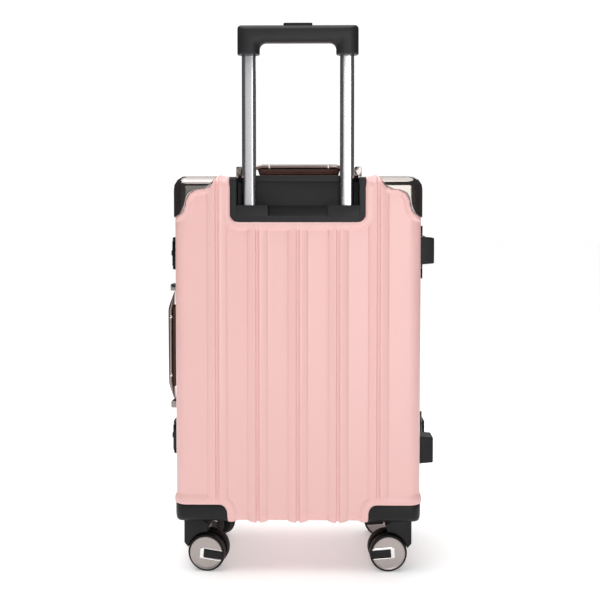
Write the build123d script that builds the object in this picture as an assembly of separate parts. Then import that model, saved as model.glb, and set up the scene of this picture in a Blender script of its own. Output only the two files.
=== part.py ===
from build123d import *
import os

# Hard shell suitcase on spinner wheels, millimetres.
# X runs across the case, +Y from the trolley side to the lid side, +Z up.
# The origin is on the floor, under the middle of the seam between the halves.

# ---- shells
shell_width = 340.0
shell_height = 479.0
shell_bottom = 73.0
shell_depth = 106.0            # seam to the flat of each big face
outline_r = 16.0               # corners seen from behind
edge_r = 13.0                  # edge round each big face
wall = 1.8
rib_height = 3.9
rib_width = 28.0
rib_pitch = 55.5
groove_width = 5.5
groove_depth = 1.7

# ---- aluminium frame
frame_depth = 18.0
frame_out = 4.0
frame_in = 5.0
frame_lap = 4.0                # how far the shell's edge stops short of the seam
seam_gap = 0.3
seal_width = 3.0
seal_depth = 4.0

# ---- pull handle
tube_x = 68.0
tube_y = -84.0
tube_width = 19.7
tube_depth = 12.5
tube_r = 5.0
tube_wall = 1.2
tube_clear = 0.3
tube_foot_z = 92.0
pull_out = 207.0               # how far the inner tubes stand out at rest
grip_width = 167.6
grip_height = 40.6
grip_bar = 24.5
grip_leg = 31.0
grip_depth = 25.0
button_width = 40.0
button_depth = 13.0
button_travel = 2.5
rod_r = 2.0

# ---- trolley pocket
pocket_width = 187.0
pocket_height = 62.0
pocket_floor = 38.5            # below the top of the shell
pocket_border = 9.0
pocket_back = 3.0
pocket_r = 12.5
rim_width = 9.6
rim_height = 2.2
ledge_x = 41.0

# ---- corner guards
guard_reach = 57.0
guard_drop = 55.5
guard_depth = 70.0
guard_proud = 2.0

# ---- wheel housings and casters
housing_x = 98.0
housing_top = 98.5
housing_y = 36.0
housing_base = 74.0
housing_floor = 4.0
housing_wall = 2.5
housing_proud = 0.6
housing_r = 12.0
lip_width = 11.0
lip_height = 2.8
swivel_x = 148.0
swivel_y = 73.0
stem_r = 5.0
boss_r = 11.0
boss_top = 95.0
running_gap = 0.05
wheel_r = 26.3
wheel_width = 13.0
wheel_gap = 12.0
trail = 22.0
axle_r = 3.0
disc_r = 24.0
disc_thick = 1.4
fork_web = 11.0
fork_width = 26.0
yaw = {"back_left": -8.0, "back_right": 3.0, "front_left": -40.0, "front_right": 2.0}

# ---- side feet, hinges, latches, carry handles
foot_from_top = 102.0
foot_from_bottom = 94.5
foot_size = 40.0
foot_y = 55.0
foot_rise = 24.0
hinge_from_top = 107.0
hinge_from_bottom = 96.0
hinge_length = 78.0
knuckle_r = 3.5
knuckle_off = 5.0              # hinge axis, out from the frame
leaf_thick = 1.3
latch_gap = 24.1               # between the side handle's end and a latch
latch_height = 47.0
latch_rise = 12.0
hasp_thick = 3.0
hasp_axis_off = 7.5
hasp_axis_y = -14.0
hasp_reach = 14.0
hasp_corner_r = 2.5
hasp_barrel_r = 3.0
keeper_rise = 5.5
keeper_half = 12.0
lock_ear = 5.0
knob_r = 4.5
knob_proud = 3.0
knob_travel = 2.0
handle_span = 177.0
handle_flat = 104.0
handle_width = 22.0
handle_y = -9.0
side_handle_drop = 5.2         # its middle, below the middle of the case
handle_rise = 18.5             # outer face above the frame
strap_thick = 1.6
bar_thick = 7.5
pad_thick = 5.5
bracket_height = 9.5
bracket_width = 17.0
bracket_roof = 2.3             # above the bar's highest place
handle_travel = 5.0

# ---- lining and straps
lining_gap = 0.5
lining_thick = 1.5
false_bottom = 62.0
strap_width = 25.0
strap_y = -24.0

top = shell_bottom + shell_height
centre_z = shell_bottom + shell_height / 2
half_width = shell_width / 2
pocket_y = tube_y + grip_depth / 2 + 2.5
frame_top = top + frame_out
frame_side = half_width + frame_out
foot_z = (top - foot_from_top, shell_bottom + foot_from_bottom)
hinge_z = (top - hinge_from_top, shell_bottom + hinge_from_bottom)
side_handle_z = centre_z - side_handle_drop
latch_step = handle_span / 2 + latch_gap + latch_height / 2
latch_z = (side_handle_z + latch_step, side_handle_z - latch_step)
hinge_x = frame_side + knuckle_off
latch_face_x = -frame_side - latch_rise
hasp_axis_x = -frame_side - hasp_axis_off
parts = {}


def box(x0, x1, y0, y1, z0, z1):
    size = Box(abs(x1 - x0), abs(y1 - y0), abs(z1 - z0))
    return Pos((x0 + x1) / 2, (y0 + y1) / 2, (z0 + z1) / 2) * size


def front(solid):
    """The same solid on the lid side."""
    return mirror(solid, about=Plane.XZ)


def other_side(solid):
    return mirror(solid, about=Plane.YZ)


def both_sides(solid):
    return solid + other_side(solid)


def outline(grow, y):
    """The case's outline seen from behind, moved out by grow, on the plane at y."""
    size = RectangleRounded(shell_width + 2 * grow, shell_height + 2 * grow, outline_r + grow)
    return Pos(0, y, centre_z) * (Plane.XZ * size)


def form(grow, seam=0.0):
    """One half of the case as a solid, moved out by grow, from the seam to the big face."""
    depth = shell_depth + grow
    solid = extrude(outline(grow, -seam), amount=depth - seam)
    face = solid.faces().sort_by(Axis.Y)[0]
    return fillet(face.edges(), radius=edge_r + grow)


def ring(out, inner, y0, y1):
    """A frame-shaped ring round the case between two offsets of its outline."""
    solid = extrude(outline(out, y0), amount=y0 - y1)
    return solid - extrude(outline(inner, y0), amount=y0 - y1)


# ================================================================ case halves
plain = form(0, frame_lap)
inner_form = form(-wall, 0)


def rib_ring(centre, width, from_grow, to_grow):
    band = box(centre - width / 2, centre + width / 2, -200, -frame_depth, -10, top + 50)
    return (form(to_grow, frame_depth) & band) - form(from_grow, 0)


ribs = [rib_ring(k * rib_pitch, rib_width, 0, rib_height) for k in (-2, -1, 0, 1, 2)]
grooves = [rib_ring(k * rib_pitch, groove_width, rib_height - groove_depth, rib_height + 1)
           for k in (-2, -1, 0, 1, 2)]

housing_block = box(-half_width - 20, -housing_x, -200, -housing_y, 0, housing_top)
housing_block = fillet(
    housing_block.edges().filter_by(Axis.Y).group_by(Axis.Z)[-1].sort_by(Axis.X)[-1:], housing_r)
lip_block = box(-half_width - 20, -housing_x + lip_width, -200, -housing_y + lip_width,
                0, housing_top + lip_width)
lip_block = fillet(
    lip_block.edges().filter_by(Axis.Y).group_by(Axis.Z)[-1].sort_by(Axis.X)[-1:], housing_r)
housing_blocks = both_sides(housing_block)
lip = both_sides((form(lip_height, frame_depth) & lip_block) - housing_block - form(0, 0))


def guard_outline():
    """S-curved inner edge of a top left corner guard, seen from behind."""
    x = -half_width
    reach = x + guard_reach
    drop = top - guard_drop
    with BuildSketch(Plane.XZ) as sketch:
        with BuildLine():
            Polyline((x - 20, drop), (x - 20, top + 20), (reach, top + 20), (reach, top))
            Spline((reach, top), (reach - 12, top - 17), (reach - 32, top - 22),
                   (x + 14, top - 39), (x + 8, drop + 4), (x, drop),
                   tangents=((-0.4, -1), (-1, -0.4)))
            Line((x, drop), (x - 20, drop))
        make_face()
    return sketch.sketch


guard_tool = extrude(guard_outline(), amount=200)
guard_zone = guard_tool & box(-300, 300, -200, -(shell_depth - guard_depth), 0, 900)
guard_left = (form(guard_proud, 0) & guard_zone) - form(0, 0)

pocket_x = pocket_width / 2
pocket_z = top - pocket_height
pocket_block = box(-pocket_x, pocket_x, -200, pocket_y + pocket_back, pocket_z, top + 40)
pocket_block = fillet(
    pocket_block.edges().filter_by(Axis.Y).group_by(Axis.Z)[0], pocket_r)
rim_block = box(-pocket_x - rim_width, pocket_x + rim_width, -200, -frame_depth - 20,
                pocket_z - rim_width, top + 40)
rim_block = fillet(rim_block.edges().filter_by(Axis.Y).group_by(Axis.Z)[0], pocket_r + rim_width)
pocket_rim = (form(rim_height, frame_depth + 20) & rim_block) - form(0, 0)


def shell(is_back):
    solid = plain - inner_form
    for rib, groove in zip(ribs, grooves):
        solid += (rib - groove)
    if is_back:
        solid = solid - (rim_block & box(-300, 300, -300, -shell_depth - 0.01, 0, 900))
        solid += pocket_rim
        solid -= pocket_block
    solid += lip
    solid -= housing_blocks
    guards = both_sides(guard_zone - form(0, 0))
    solid -= guards
    return solid if is_back else front(solid)


parts["back_shell"] = shell(True)
parts["front_shell"] = shell(False)
parts["back_corner_guard_left"] = guard_left
parts["back_corner_guard_right"] = other_side(guard_left)
parts["front_corner_guard_left"] = front(guard_left)
parts["front_corner_guard_right"] = front(other_side(guard_left))

# frame halves: a channel that takes the shell's edge, and a groove for the seal in the lid's
frame_section = ring(frame_out, -frame_in, -seam_gap / 2, -frame_depth)
shell_edge = plain - inner_form
back_frame = frame_section - shell_edge
seal_groove = ring(0, -seal_width, -seam_gap / 2, -seam_gap / 2 - seal_depth + 0.3)

rivet_r = 1.4
rivet_head_r = 2.8
rivet_head = 1.1
rivet_y = -12.0
rivet_step = 92.0


def rivets():
    """Rivets through the frame's inner leg into the shell's edge, seen from inside the case."""
    inner = half_width - frame_in
    group = []
    for side in (-1, 1):
        for k in (-2, -1, 0, 1, 2):
            z = centre_z + k * rivet_step
            reach = frame_in - 0.2
            shank = Pos(side * (inner + reach / 2), rivet_y, z) * (
                Rot(0, 90, 0) * Cylinder(rivet_r, reach))
            head = Pos(side * (inner - rivet_head / 2), rivet_y, z) * (
                Rot(0, 90, 0) * Cylinder(rivet_head_r, rivet_head))
            group.append(shank + head)
    return group


back_rivets = rivets()
rivet_cut = back_rivets[0]
for rivet in back_rivets[1:]:
    rivet_cut = rivet_cut + rivet
parts["back_frame"] = back_frame - rivet_cut
parts["front_frame"] = front(back_frame - seal_groove - rivet_cut)
parts["back_shell"] = parts["back_shell"] - rivet_cut
parts["front_shell"] = parts["front_shell"] - front(rivet_cut)
parts["back_rivets"] = Compound(children=[Compound(children=[r]) for r in back_rivets])
parts["front_rivets"] = front(rivet_cut)
parts["frame_seal"] = front(ring(-0.2, -seal_width + 0.2, -seam_gap / 2,
                                 -seam_gap / 2 - seal_depth + 0.3))

# ================================================================ trolley pocket and tubes


def tube_outline(grow):
    return RectangleRounded(tube_width + 2 * grow, tube_depth + 2 * grow, tube_r + grow)


def tube(outer, inner, z0, z1):
    """One pull tube on the left, between two offsets of the inner tube's outline."""
    sketch = tube_outline(outer) - tube_outline(inner)
    return Pos(-tube_x, tube_y, z0) * extrude(sketch, amount=z1 - z0)


def tube_plug(grow, z0, z1):
    return Pos(-tube_x, tube_y, z0) * extrude(tube_outline(grow), amount=z1 - z0)


mid_in = tube_clear
mid_out = mid_in + 1.0
outer_in = mid_out + tube_clear
outer_out = outer_in + tube_wall
floor_z = top - pocket_floor

bezel_form = form(0.3, 0) & pocket_block
bezel = bezel_form - box(-pocket_x + pocket_border, pocket_x - pocket_border,
                         -300, pocket_y, floor_z, top + 50)
ledge = extrude(
    Plane.YZ * make_face(Polyline((-pocket_x - 200, floor_z + 10), (pocket_y, floor_z + 10),
                                  (pocket_y, floor_z), (-shell_depth + 2, floor_z - 15),
                                  (-shell_depth - 100, floor_z - 15), close=True)),
    amount=ledge_x, both=True)
bezel = bezel - ledge
bezel = bezel - box(-pocket_x + 3, -tube_x - outer_out - tube_width / 2 - 3,
                    -shell_depth + 3, pocket_y, 0, floor_z - 3)
bezel = bezel - box(-ledge_x - 8, ledge_x + 8, -shell_depth + 6, pocket_y, 0, floor_z - 19)
bezel = bezel - both_sides(tube_plug(outer_out, 0, top + 50))
parts["trolley_bezel"] = bezel

parts["outer_tubes"] = both_sides(tube(outer_out, outer_in, tube_foot_z, floor_z))
foot_block = box(-tube_x - 17, tube_x + 17, -shell_depth + wall, tube_y + 14,
                 tube_foot_z - 5, tube_foot_z + 12)
parts["tube_foot_bracket"] = foot_block - both_sides(
    tube_plug(outer_out, tube_foot_z, tube_foot_z + 60)) - both_sides(
    tube_plug(0, 0, tube_foot_z + 1))
parts["mid_tubes"] = both_sides(tube(mid_out, mid_in, tube_foot_z + 1.5, floor_z - 1.0))

grip_low = floor_z + 0.5 + pull_out
inner_low = tube_foot_z + 4 + pull_out
grip_top = grip_low + grip_height
cross_z = grip_top - 14
socket_top = cross_z - 2 - button_travel - 0.5
parts["inner_tubes"] = both_sides(tube(0, -tube_wall, inner_low, socket_top))
block_height = 24.0
lock_block = (tube_plug(-tube_wall, inner_low, inner_low + block_height)
              - Pos(-tube_x, tube_y, inner_low) * Cylinder(rod_r + 0.3, 300))
parts["tube_lock_blocks"] = both_sides(lock_block)

# the grip: a bar with two legs, split along its length
grip_x = grip_width / 2
grip_outline = Pos(0, tube_y, (grip_low + grip_top) / 2) * (
    Plane.XZ * RectangleRounded(grip_width, grip_height, 6))
grip = Pos(0, grip_depth / 2, 0) * extrude(grip_outline, amount=grip_depth)
hand_gap = box(-grip_x + grip_leg, grip_x - grip_leg, tube_y - 50, tube_y + 50,
               grip_low - 50, grip_top - grip_bar)
hand_gap = fillet(hand_gap.edges().filter_by(Axis.Y).group_by(Axis.Z)[-1], 8)
grip = grip - hand_gap
long_edges = grip.faces().sort_by(Axis.Y)[0].edges() + grip.faces().sort_by(Axis.Y)[-1].edges()
grip = fillet(long_edges, 4)
cavity = box(-tube_x - 6, tube_x + 6, tube_y - 6, tube_y + 6, cross_z - 8, cross_z + 6)
button_hole = box(-button_width / 2 - 0.4, button_width / 2 + 0.4,
                  tube_y - button_depth / 2 - 0.4, tube_y + button_depth / 2 + 0.4,
                  cross_z, grip_top + 5)
grip = grip - cavity - button_hole
grip = grip - both_sides(tube_plug(0, grip_low - 5, socket_top))
rear_side = box(-200, 200, tube_y - 50, tube_y, grip_low - 50, grip_top + 50)
parts["grip_rear_half"] = grip & rear_side
parts["grip_front_half"] = grip - rear_side

button = box(-button_width / 2, button_width / 2, tube_y - button_depth / 2,
             tube_y + button_depth / 2, cross_z + 3.3, grip_top + button_travel + 0.3)
button = fillet(button.edges().filter_by(Axis.Z), 3)
button = fillet(button.faces().sort_by(Axis.Z)[-1].edges(), 1)
parts["release_button"] = button
cross_bar = box(-tube_x - 4, tube_x + 4, tube_y - 4, tube_y + 4, cross_z - 2, cross_z + 3.3)
rod_low = inner_low + 3
rod = Pos(-tube_x, tube_y, (rod_low + cross_z - 2) / 2) * Cylinder(rod_r, cross_z - 2 - rod_low)
rod_slot = both_sides(Pos(-tube_x, tube_y, cross_z - 20) * Cylinder(rod_r + 0.5, 60))
parts["grip_rear_half"] = parts["grip_rear_half"] - (
    rod_slot & box(-200, 200, -300, 300, 0, cross_z + 3))
parts["grip_front_half"] = parts["grip_front_half"] - (
    rod_slot & box(-200, 200, -300, 300, 0, cross_z + 3))
parts["pull_rods"] = cross_bar + both_sides(rod)

# ================================================================ wheel housings and casters


def housing():
    """Back left housing: a tub with a boss for the fork's stem, open towards the case."""
    block = form(housing_proud, 0) & housing_block
    block = block & box(-300, 300, -300, 300, housing_base, 900)
    hollow = form(housing_proud - housing_wall, 0) & box(
        -300, -housing_x - housing_wall, -300, -housing_y - housing_wall,
        housing_base + housing_floor, housing_top - housing_wall)
    boss = Pos(-swivel_x, -swivel_y, (housing_base + boss_top) / 2) * Cylinder(
        boss_r, boss_top - housing_base)
    bore = Pos(-swivel_x, -swivel_y, housing_base) * Cylinder(stem_r + running_gap, 100)
    window = box(-swivel_x - 14, -swivel_x + 14, -swivel_y - 14, -swivel_y + 14,
                 boss_top - 6, housing_top + 10)
    return (block - hollow - window) + (boss & block) - bore


back_housing = housing()
for side, flip in (("left", lambda s: s), ("right", other_side)):
    parts["back_wheel_housing_" + side] = flip(back_housing)
    parts["front_wheel_housing_" + side] = front(flip(back_housing))


def fork():
    """Swivel fork about the origin, its wheels trailing towards +X."""
    stem_top = housing_base - 0.3
    with BuildSketch(Plane.XZ) as sketch:
        with BuildLine():
            Polyline((-11, stem_top), (-11, 38), (-5, 31), (trail, 30), (trail, 60),
                     (trail + 4, 64), (11, stem_top), (-11, stem_top))
        make_face()
    body = extrude(sketch.sketch, amount=fork_width / 2, both=True)
    wheel_room = Pos(trail, 0, wheel_r) * (Rot(90, 0, 0) * Cylinder(wheel_r + 1.5, fork_width * 2))
    web_band = box(-50, 80, -fork_web / 2, fork_web / 2, -10, 200)
    hub_plate = Pos(trail, 0, wheel_r) * (Rot(90, 0, 0) * Cylinder(9, fork_web))
    web = (body & web_band) + hub_plate
    body = (body - wheel_room) + web
    stem = Pos(0, 0, (stem_top + boss_top + 2) / 2 - 3) * Cylinder(
        stem_r, boss_top + 2 - stem_top + 6)
    bore = Pos(trail, 0, wheel_r) * (Rot(90, 0, 0) * Cylinder(axle_r + 0.01, 60))
    body = body + stem - bore
    nut = Pos(0, 0, boss_top + 1.3) * (Cylinder(8, 2) - Cylinder(stem_r, 2))
    axle_length = wheel_gap + 2 * wheel_width - 6
    axle = Pos(trail, 0, wheel_r) * (Rot(90, 0, 0) * Cylinder(axle_r, axle_length))
    return [body, nut, axle]


def wheel():
    """One wheel on the axle's -Y side, with its metal disc let into its outer face."""
    inner_face = -wheel_gap / 2
    outer_face = inner_face - wheel_width
    body = Pos(0, (inner_face + outer_face) / 2, 0) * (Rot(90, 0, 0) * Cylinder(wheel_r, wheel_width))
    body = fillet(body.edges(), 3)
    recess = Pos(0, outer_face + disc_thick / 2, 0) * (
        Rot(90, 0, 0) * Cylinder(disc_r - 3 + 0.1, disc_thick))
    hole = Pos(0, inner_face - (wheel_width - 3) / 2 + 0.5, 0) * (
        Rot(90, 0, 0) * Cylinder(axle_r + running_gap, wheel_width - 3 + 1))
    disc = Pos(0, outer_face + disc_thick / 2, 0) * (
        Rot(90, 0, 0) * Cylinder(disc_r - 3, disc_thick))
    return [body - recess - hole, disc]


fork_solids = fork()
wheel_solids = wheel()
for name, turn in yaw.items():
    y_sign = -1 if name.startswith("back") else 1
    x_sign = -1 if name.endswith("left") else 1
    inward = turn + (180 if x_sign > 0 else 0)
    place = Pos(x_sign * swivel_x, y_sign * swivel_y, 0) * Rot(0, 0, inward)
    parts[name + "_fork"] = Compound(children=[place * s for s in fork_solids])
    hub = place * Pos(trail, 0, wheel_r)
    near = [hub * s for s in wheel_solids]
    far = [hub * (Rot(0, 0, 180) * s) for s in wheel_solids]
    if x_sign > 0:
        near, far = far, near
    parts[name + "_rear_wheel"] = Compound(children=near)
    parts[name + "_front_wheel"] = Compound(children=far)

# ================================================================ feet, hinges, latches


def side_foot(z):
    base = Pos(half_width, -foot_y, z) * (Plane.YZ * RectangleRounded(foot_size - 4, foot_size, 4))
    solid = extrude(base, amount=foot_rise, taper=4.5)
    return fillet(solid.faces().sort_by(Axis.X)[-1].edges(), 2)


feet = [side_foot(z) for z in foot_z]
parts["back_side_feet"] = Compound(children=feet)
parts["front_side_feet"] = Compound(children=[front(foot) for foot in feet])

knuckles = 5
knuckle_gap = 0.4
pin_r = 1.5


def hinge_leaf(z, is_back):
    """One leaf: a plate on the frame and every other knuckle, on the trolley side's -Y."""
    plate_y = -frame_depth + 2
    plate = box(frame_side, frame_side + leaf_thick, plate_y, -3,
                z - hinge_length / 2, z + hinge_length / 2)
    step = hinge_length / knuckles
    solid = plate
    for k in range(knuckles):
        if (k % 2 == 0) != is_back:
            continue
        low = z - hinge_length / 2 + k * step + knuckle_gap / 2
        high = low + step - knuckle_gap
        barrel = Pos(hinge_x, 0, (low + high) / 2) * Cylinder(knuckle_r, high - low)
        web = box(frame_side, hinge_x, -knuckle_r, -knuckle_r + leaf_thick, low, high)
        solid = solid + web + barrel
    radius = pin_r if is_back else pin_r + running_gap
    solid = solid - Pos(hinge_x, 0, z) * Cylinder(radius, hinge_length + 10)
    if is_back:
        solid = solid + Pos(hinge_x, 0, z) * Cylinder(pin_r, hinge_length)
    return solid


parts["back_hinge_leaves"] = Compound(children=[hinge_leaf(z, True) for z in hinge_z])
parts["front_hinge_leaves"] = Compound(children=[front(hinge_leaf(z, False)) for z in hinge_z])

hasp_in_x = latch_face_x + hasp_thick
body_x = hasp_in_x + knob_travel + 1.2


def lock_body(z):
    half = latch_height / 2
    solid = box(body_x, -frame_side, hasp_axis_y + 3.5, -1, z - half, z + half)
    for side in (-1, 1):
        end = z + side * (latch_height / 2 - lock_ear / 2)
        barrel = Pos(hasp_axis_x, hasp_axis_y, end) * Cylinder(hasp_barrel_r, lock_ear)
        base = box(hasp_axis_x, -frame_side, hasp_axis_y - 3, hasp_axis_y + 3.6,
                   end - lock_ear / 2, end + lock_ear / 2)
        solid = solid + barrel + base
    pin = Pos(hasp_axis_x, hasp_axis_y, z) * Cylinder(pin_r, latch_height)
    return solid + pin


def keeper(z):
    solid = box(-frame_side - keeper_rise, -frame_side, 3, 12, z - keeper_half, z + keeper_half)
    return fillet(solid.edges().filter_by(Axis.Z).sort_by(Axis.X)[:2], 1.5)


def hasp(z):
    tall = latch_height - 2 * lock_ear - 0.8
    half = latch_height / 2
    plate = box(latch_face_x, hasp_in_x, hasp_axis_y + 3.5, hasp_reach, z - half, z + half)
    plate = fillet(plate.edges().filter_by(Axis.X), hasp_corner_r)
    web = box(latch_face_x, hasp_in_x, hasp_axis_y - 1, hasp_axis_y + 6,
              z - tall / 2, z + tall / 2)
    barrel = Pos(hasp_axis_x, hasp_axis_y, z) * Cylinder(hasp_barrel_r, tall)
    solid = plate + web + barrel
    solid = solid - Pos(hasp_axis_x, hasp_axis_y, z) * Cylinder(pin_r + running_gap, tall + 10)
    hole = Pos(latch_face_x, 0, z) * (Rot(0, 90, 0) * Cylinder(knob_r - 1.5 + 0.3, 20))
    return solid - hole


def knob(z):
    head = Pos(latch_face_x - knob_proud / 2, 0, z) * (
        Rot(0, 90, 0) * Cylinder(knob_r, knob_proud - knob_travel - 0.2))
    head = Pos(-(knob_travel + 0.2) / 2, 0, 0) * head
    x0 = latch_face_x - knob_travel - 0.2
    x1 = hasp_in_x + 0.8
    stem = Pos((x0 + x1) / 2, 0, z) * (Rot(0, 90, 0) * Cylinder(knob_r - 1.5, x1 - x0))
    return head + stem


parts["lock_bodies"] = Compound(children=[lock_body(z) for z in latch_z])
parts["lock_keepers"] = Compound(children=[keeper(z) for z in latch_z])
for name, z in zip(("upper", "lower"), latch_z):
    parts[name + "_latch_hasp"] = hasp(z)
    parts[name + "_latch_knob"] = knob(z)

# ================================================================ carry handles


def handle_strip():
    """Bar seen from the side, lengthwise along X, height above the frame along Z."""
    end = handle_span / 2
    flat = handle_flat / 2
    low = bracket_height - 4.0
    with BuildSketch(Plane.XZ) as sketch:
        with BuildLine():
            Polyline((-end, low), (-end + 10, low), (-flat, handle_rise - bar_thick),
                     (flat, handle_rise - bar_thick), (end - 10, low), (end, low),
                     (end, low + strap_thick), (end - 8, low + strap_thick),
                     (flat + 8, handle_rise - 3), (flat, handle_rise), (-flat, handle_rise),
                     (-flat - 8, handle_rise - 3), (-end + 8, low + strap_thick),
                     (-end, low + strap_thick), (-end, low))
        make_face()
    return extrude(sketch.sketch, amount=handle_width / 2, both=True)


def handle_pad():
    flat = handle_flat / 2
    high = handle_rise - bar_thick
    return box(-flat, flat, -handle_width / 2 + 1, handle_width / 2 - 1, high - pad_thick, high)


def handle_brackets():
    """A bridge over each end of the bar, with room for the bar's travel."""
    solids = []
    low = bracket_height - 4.0
    for side in (-1, 1):
        x0 = side * (handle_span / 2 - 7)
        x1 = side * (handle_span / 2 + 3)
        roof = low + strap_thick + handle_travel
        outer = box(x0, x1, -bracket_width / 2, bracket_width / 2, 0, roof + bracket_roof)
        outer = fillet(outer.edges().filter_by(Axis.Y).group_by(Axis.Z)[-1], 2)
        window = box(side * (handle_span / 2 - 20), side * (handle_span / 2 + 0.3),
                     -bracket_width / 2 + 2, bracket_width / 2 - 2,
                     low - 0.3, roof + 0.3)
        solids.append(outer - window)
    return solids


tab_half = bracket_width / 2 - 2.5
tab_trim = both_sides(box(-handle_span / 2 - 1, -handle_span / 2 + 9, -20, -tab_half, -5, 40)
                      + box(-handle_span / 2 - 1, -handle_span / 2 + 9, tab_half, 20, -5, 40))
top_place = Pos(0, handle_y, frame_top)
side_place = Pos(-frame_side, handle_y, side_handle_z) * Rot(0, -90, 0)
strip = handle_strip() - tab_trim
for name, place in (("top", top_place), ("side", side_place)):
    parts[name + "_handle_bar"] = place * strip
    parts[name + "_handle_leather"] = place * handle_pad()
    parts[name + "_handle_brackets"] = Compound(children=[place * s for s in handle_brackets()])

# ================================================================ lining and straps


def lining(depth):
    """A soft tray inside one half, clear of the wheel housings."""
    skin = -wall - lining_gap - frame_in + wall
    cut = both_sides(box(-300, -housing_x + 2, -300, -housing_y + 2, 0, housing_top + 3))
    inner_cut = both_sides(box(-300, -housing_x + 2 + lining_thick, -300,
                               -housing_y + 2 + lining_thick, 0, housing_top + 3 + lining_thick))
    outer = (form(skin, 0) & box(-300, 300, -depth, -seam_gap, 0, 900)) - cut
    inner = (form(skin - lining_thick, 0)
             & box(-300, 300, -depth + lining_thick, 10, 0, 900)) - inner_cut
    return outer - inner


head_room = both_sides(box(-half_width, -half_width + frame_in + rivet_head + 1,
                           rivet_y - 4, 0, 0, 900))
parts["back_lining"] = lining(false_bottom) - head_room
lid_floor = shell_depth - frame_in - lining_gap
parts["front_lining"] = front(lining(lid_floor) - head_room)

tray_x = half_width - frame_in - lining_gap - lining_thick
buckle_w = 46.0
buckle_d = 9.0


def strap_limb(x_side, z_side):
    """A webbing band from a side wall of the tray to the buckle."""
    z = centre_z + z_side * (strap_width + 6) / 2
    return box(x_side * (tray_x - 0.3), x_side * (buckle_w / 2 + 0.2), strap_y - strap_thick / 2,
               strap_y + strap_thick / 2, z - strap_width / 2, z + strap_width / 2)


parts["packing_straps"] = Compound(children=[
    strap_limb(x_side, z_side) for x_side in (-1, 1) for z_side in (-1, 1)])
buckle = Pos(0, strap_y, centre_z) * Box(buckle_w, buckle_d, 2 * strap_width + 12)
parts["strap_buckle"] = fillet(buckle.edges().filter_by(Axis.Y), 6)
pocket_deep = lid_floor - lining_thick - 0.3
pocket_panel = box(-half_width + 36, half_width - 36, pocket_deep - 4, pocket_deep,
                   shell_bottom + 60, shell_bottom + 290)
parts["lid_pocket"] = fillet(pocket_panel.edges().filter_by(Axis.Y), 12)

os.makedirs("parts", exist_ok=True)
for name, solid in parts.items():
    export_step(solid, os.path.join("parts", name + ".step"))
print(len(parts), "nodes")
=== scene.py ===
import bmesh
import bpy
import numpy as np
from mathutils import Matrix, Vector


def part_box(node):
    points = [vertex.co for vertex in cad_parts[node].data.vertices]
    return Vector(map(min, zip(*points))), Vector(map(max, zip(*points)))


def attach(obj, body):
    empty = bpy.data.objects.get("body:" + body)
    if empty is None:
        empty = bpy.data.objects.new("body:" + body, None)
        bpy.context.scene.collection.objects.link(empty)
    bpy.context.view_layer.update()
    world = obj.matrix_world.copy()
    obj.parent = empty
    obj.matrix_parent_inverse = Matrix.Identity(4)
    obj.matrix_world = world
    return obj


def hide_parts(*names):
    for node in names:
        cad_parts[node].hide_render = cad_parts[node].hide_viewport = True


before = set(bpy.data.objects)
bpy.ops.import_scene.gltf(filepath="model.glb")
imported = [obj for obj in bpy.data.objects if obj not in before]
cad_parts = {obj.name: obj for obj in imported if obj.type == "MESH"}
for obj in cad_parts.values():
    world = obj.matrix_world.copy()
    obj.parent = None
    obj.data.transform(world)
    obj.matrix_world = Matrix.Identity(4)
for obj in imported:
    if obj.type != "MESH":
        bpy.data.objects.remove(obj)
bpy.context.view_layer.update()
mm = 0.001


# ==== Camera, lights and floor =============================================================
# The case stands on a pale studio floor and is seen from the trolley side, from a little above
# the middle of its body. A strip light and a soft box stand by the camera, others above and
# behind; grey cards at both sides give the rounded metal something dark to mirror.

bpy.context.scene.view_settings.view_transform = "Standard"
camera = bpy.data.objects.new("camera", bpy.data.cameras.new("camera"))
bpy.context.scene.collection.objects.link(camera)
bpy.context.scene.camera = camera
camera.data.lens = 57.7
camera.data.sensor_width = 36
camera.data.shift_y = -0.082
camera.data.clip_end = 60
camera.location = (0.025, -1.423, 0.504)
camera.rotation_euler = (np.radians(90 - 2.3), 0, np.radians(0.95))


def linear(code):
    """sRGB hex to the linear colour that a shader socket takes."""
    s = np.array([int(code[i:i + 2], 16) / 255 for i in (1, 3, 5)])
    flat = np.where(s <= 0.04045, s / 12.92, ((s + 0.055) / 1.055) ** 2.4)
    return (*flat, 1.0)


def add_node(tree, kind, settings=None, links=None):
    """Adds a node; settings are sockets or properties by name, links are socket: output."""
    node = tree.nodes.new(kind)
    for key, value in (settings or {}).items():
        if isinstance(key, int) or key in node.inputs:
            node.inputs[key].default_value = value
        else:
            setattr(node, key, value)
    for key, output in (links or {}).items():
        tree.links.new(output, node.inputs[key])
    return node


def new_material(name, colour, roughness, **sockets):
    """A material with one Principled shader; returns it, its tree and the shader."""
    material = bpy.data.materials.new(name)
    material.use_nodes = True
    tree = material.node_tree
    shader = tree.nodes["Principled BSDF"]
    shader.inputs["Base Color"].default_value = linear(colour)
    shader.inputs["Roughness"].default_value = roughness
    for key, value in sockets.items():
        shader.inputs[key.replace("_", " ")].default_value = value
    return material, tree, shader


def plain_card(name, centre, size, turn, colour, strength=0.0):
    """A flat rectangle of the studio: centre, width and height, and its turn in degrees."""
    half = np.array(size) / 2
    corners = [(-half[0], -half[1], 0), (half[0], -half[1], 0), (half[0], half[1], 0),
               (-half[0], half[1], 0)]
    mesh = bpy.data.meshes.new(name)
    mesh.from_pydata(corners, [], [(0, 1, 2, 3)])
    card = bpy.data.objects.new(name, mesh)
    bpy.context.scene.collection.objects.link(card)
    card.location = centre
    card.rotation_euler = [np.radians(a) for a in turn]
    material, _, shader = new_material(name, colour, 0.9)
    shader.inputs["Emission Color"].default_value = linear(colour)
    shader.inputs["Emission Strength"].default_value = strength
    mesh.materials.append(material)
    return card


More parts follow.
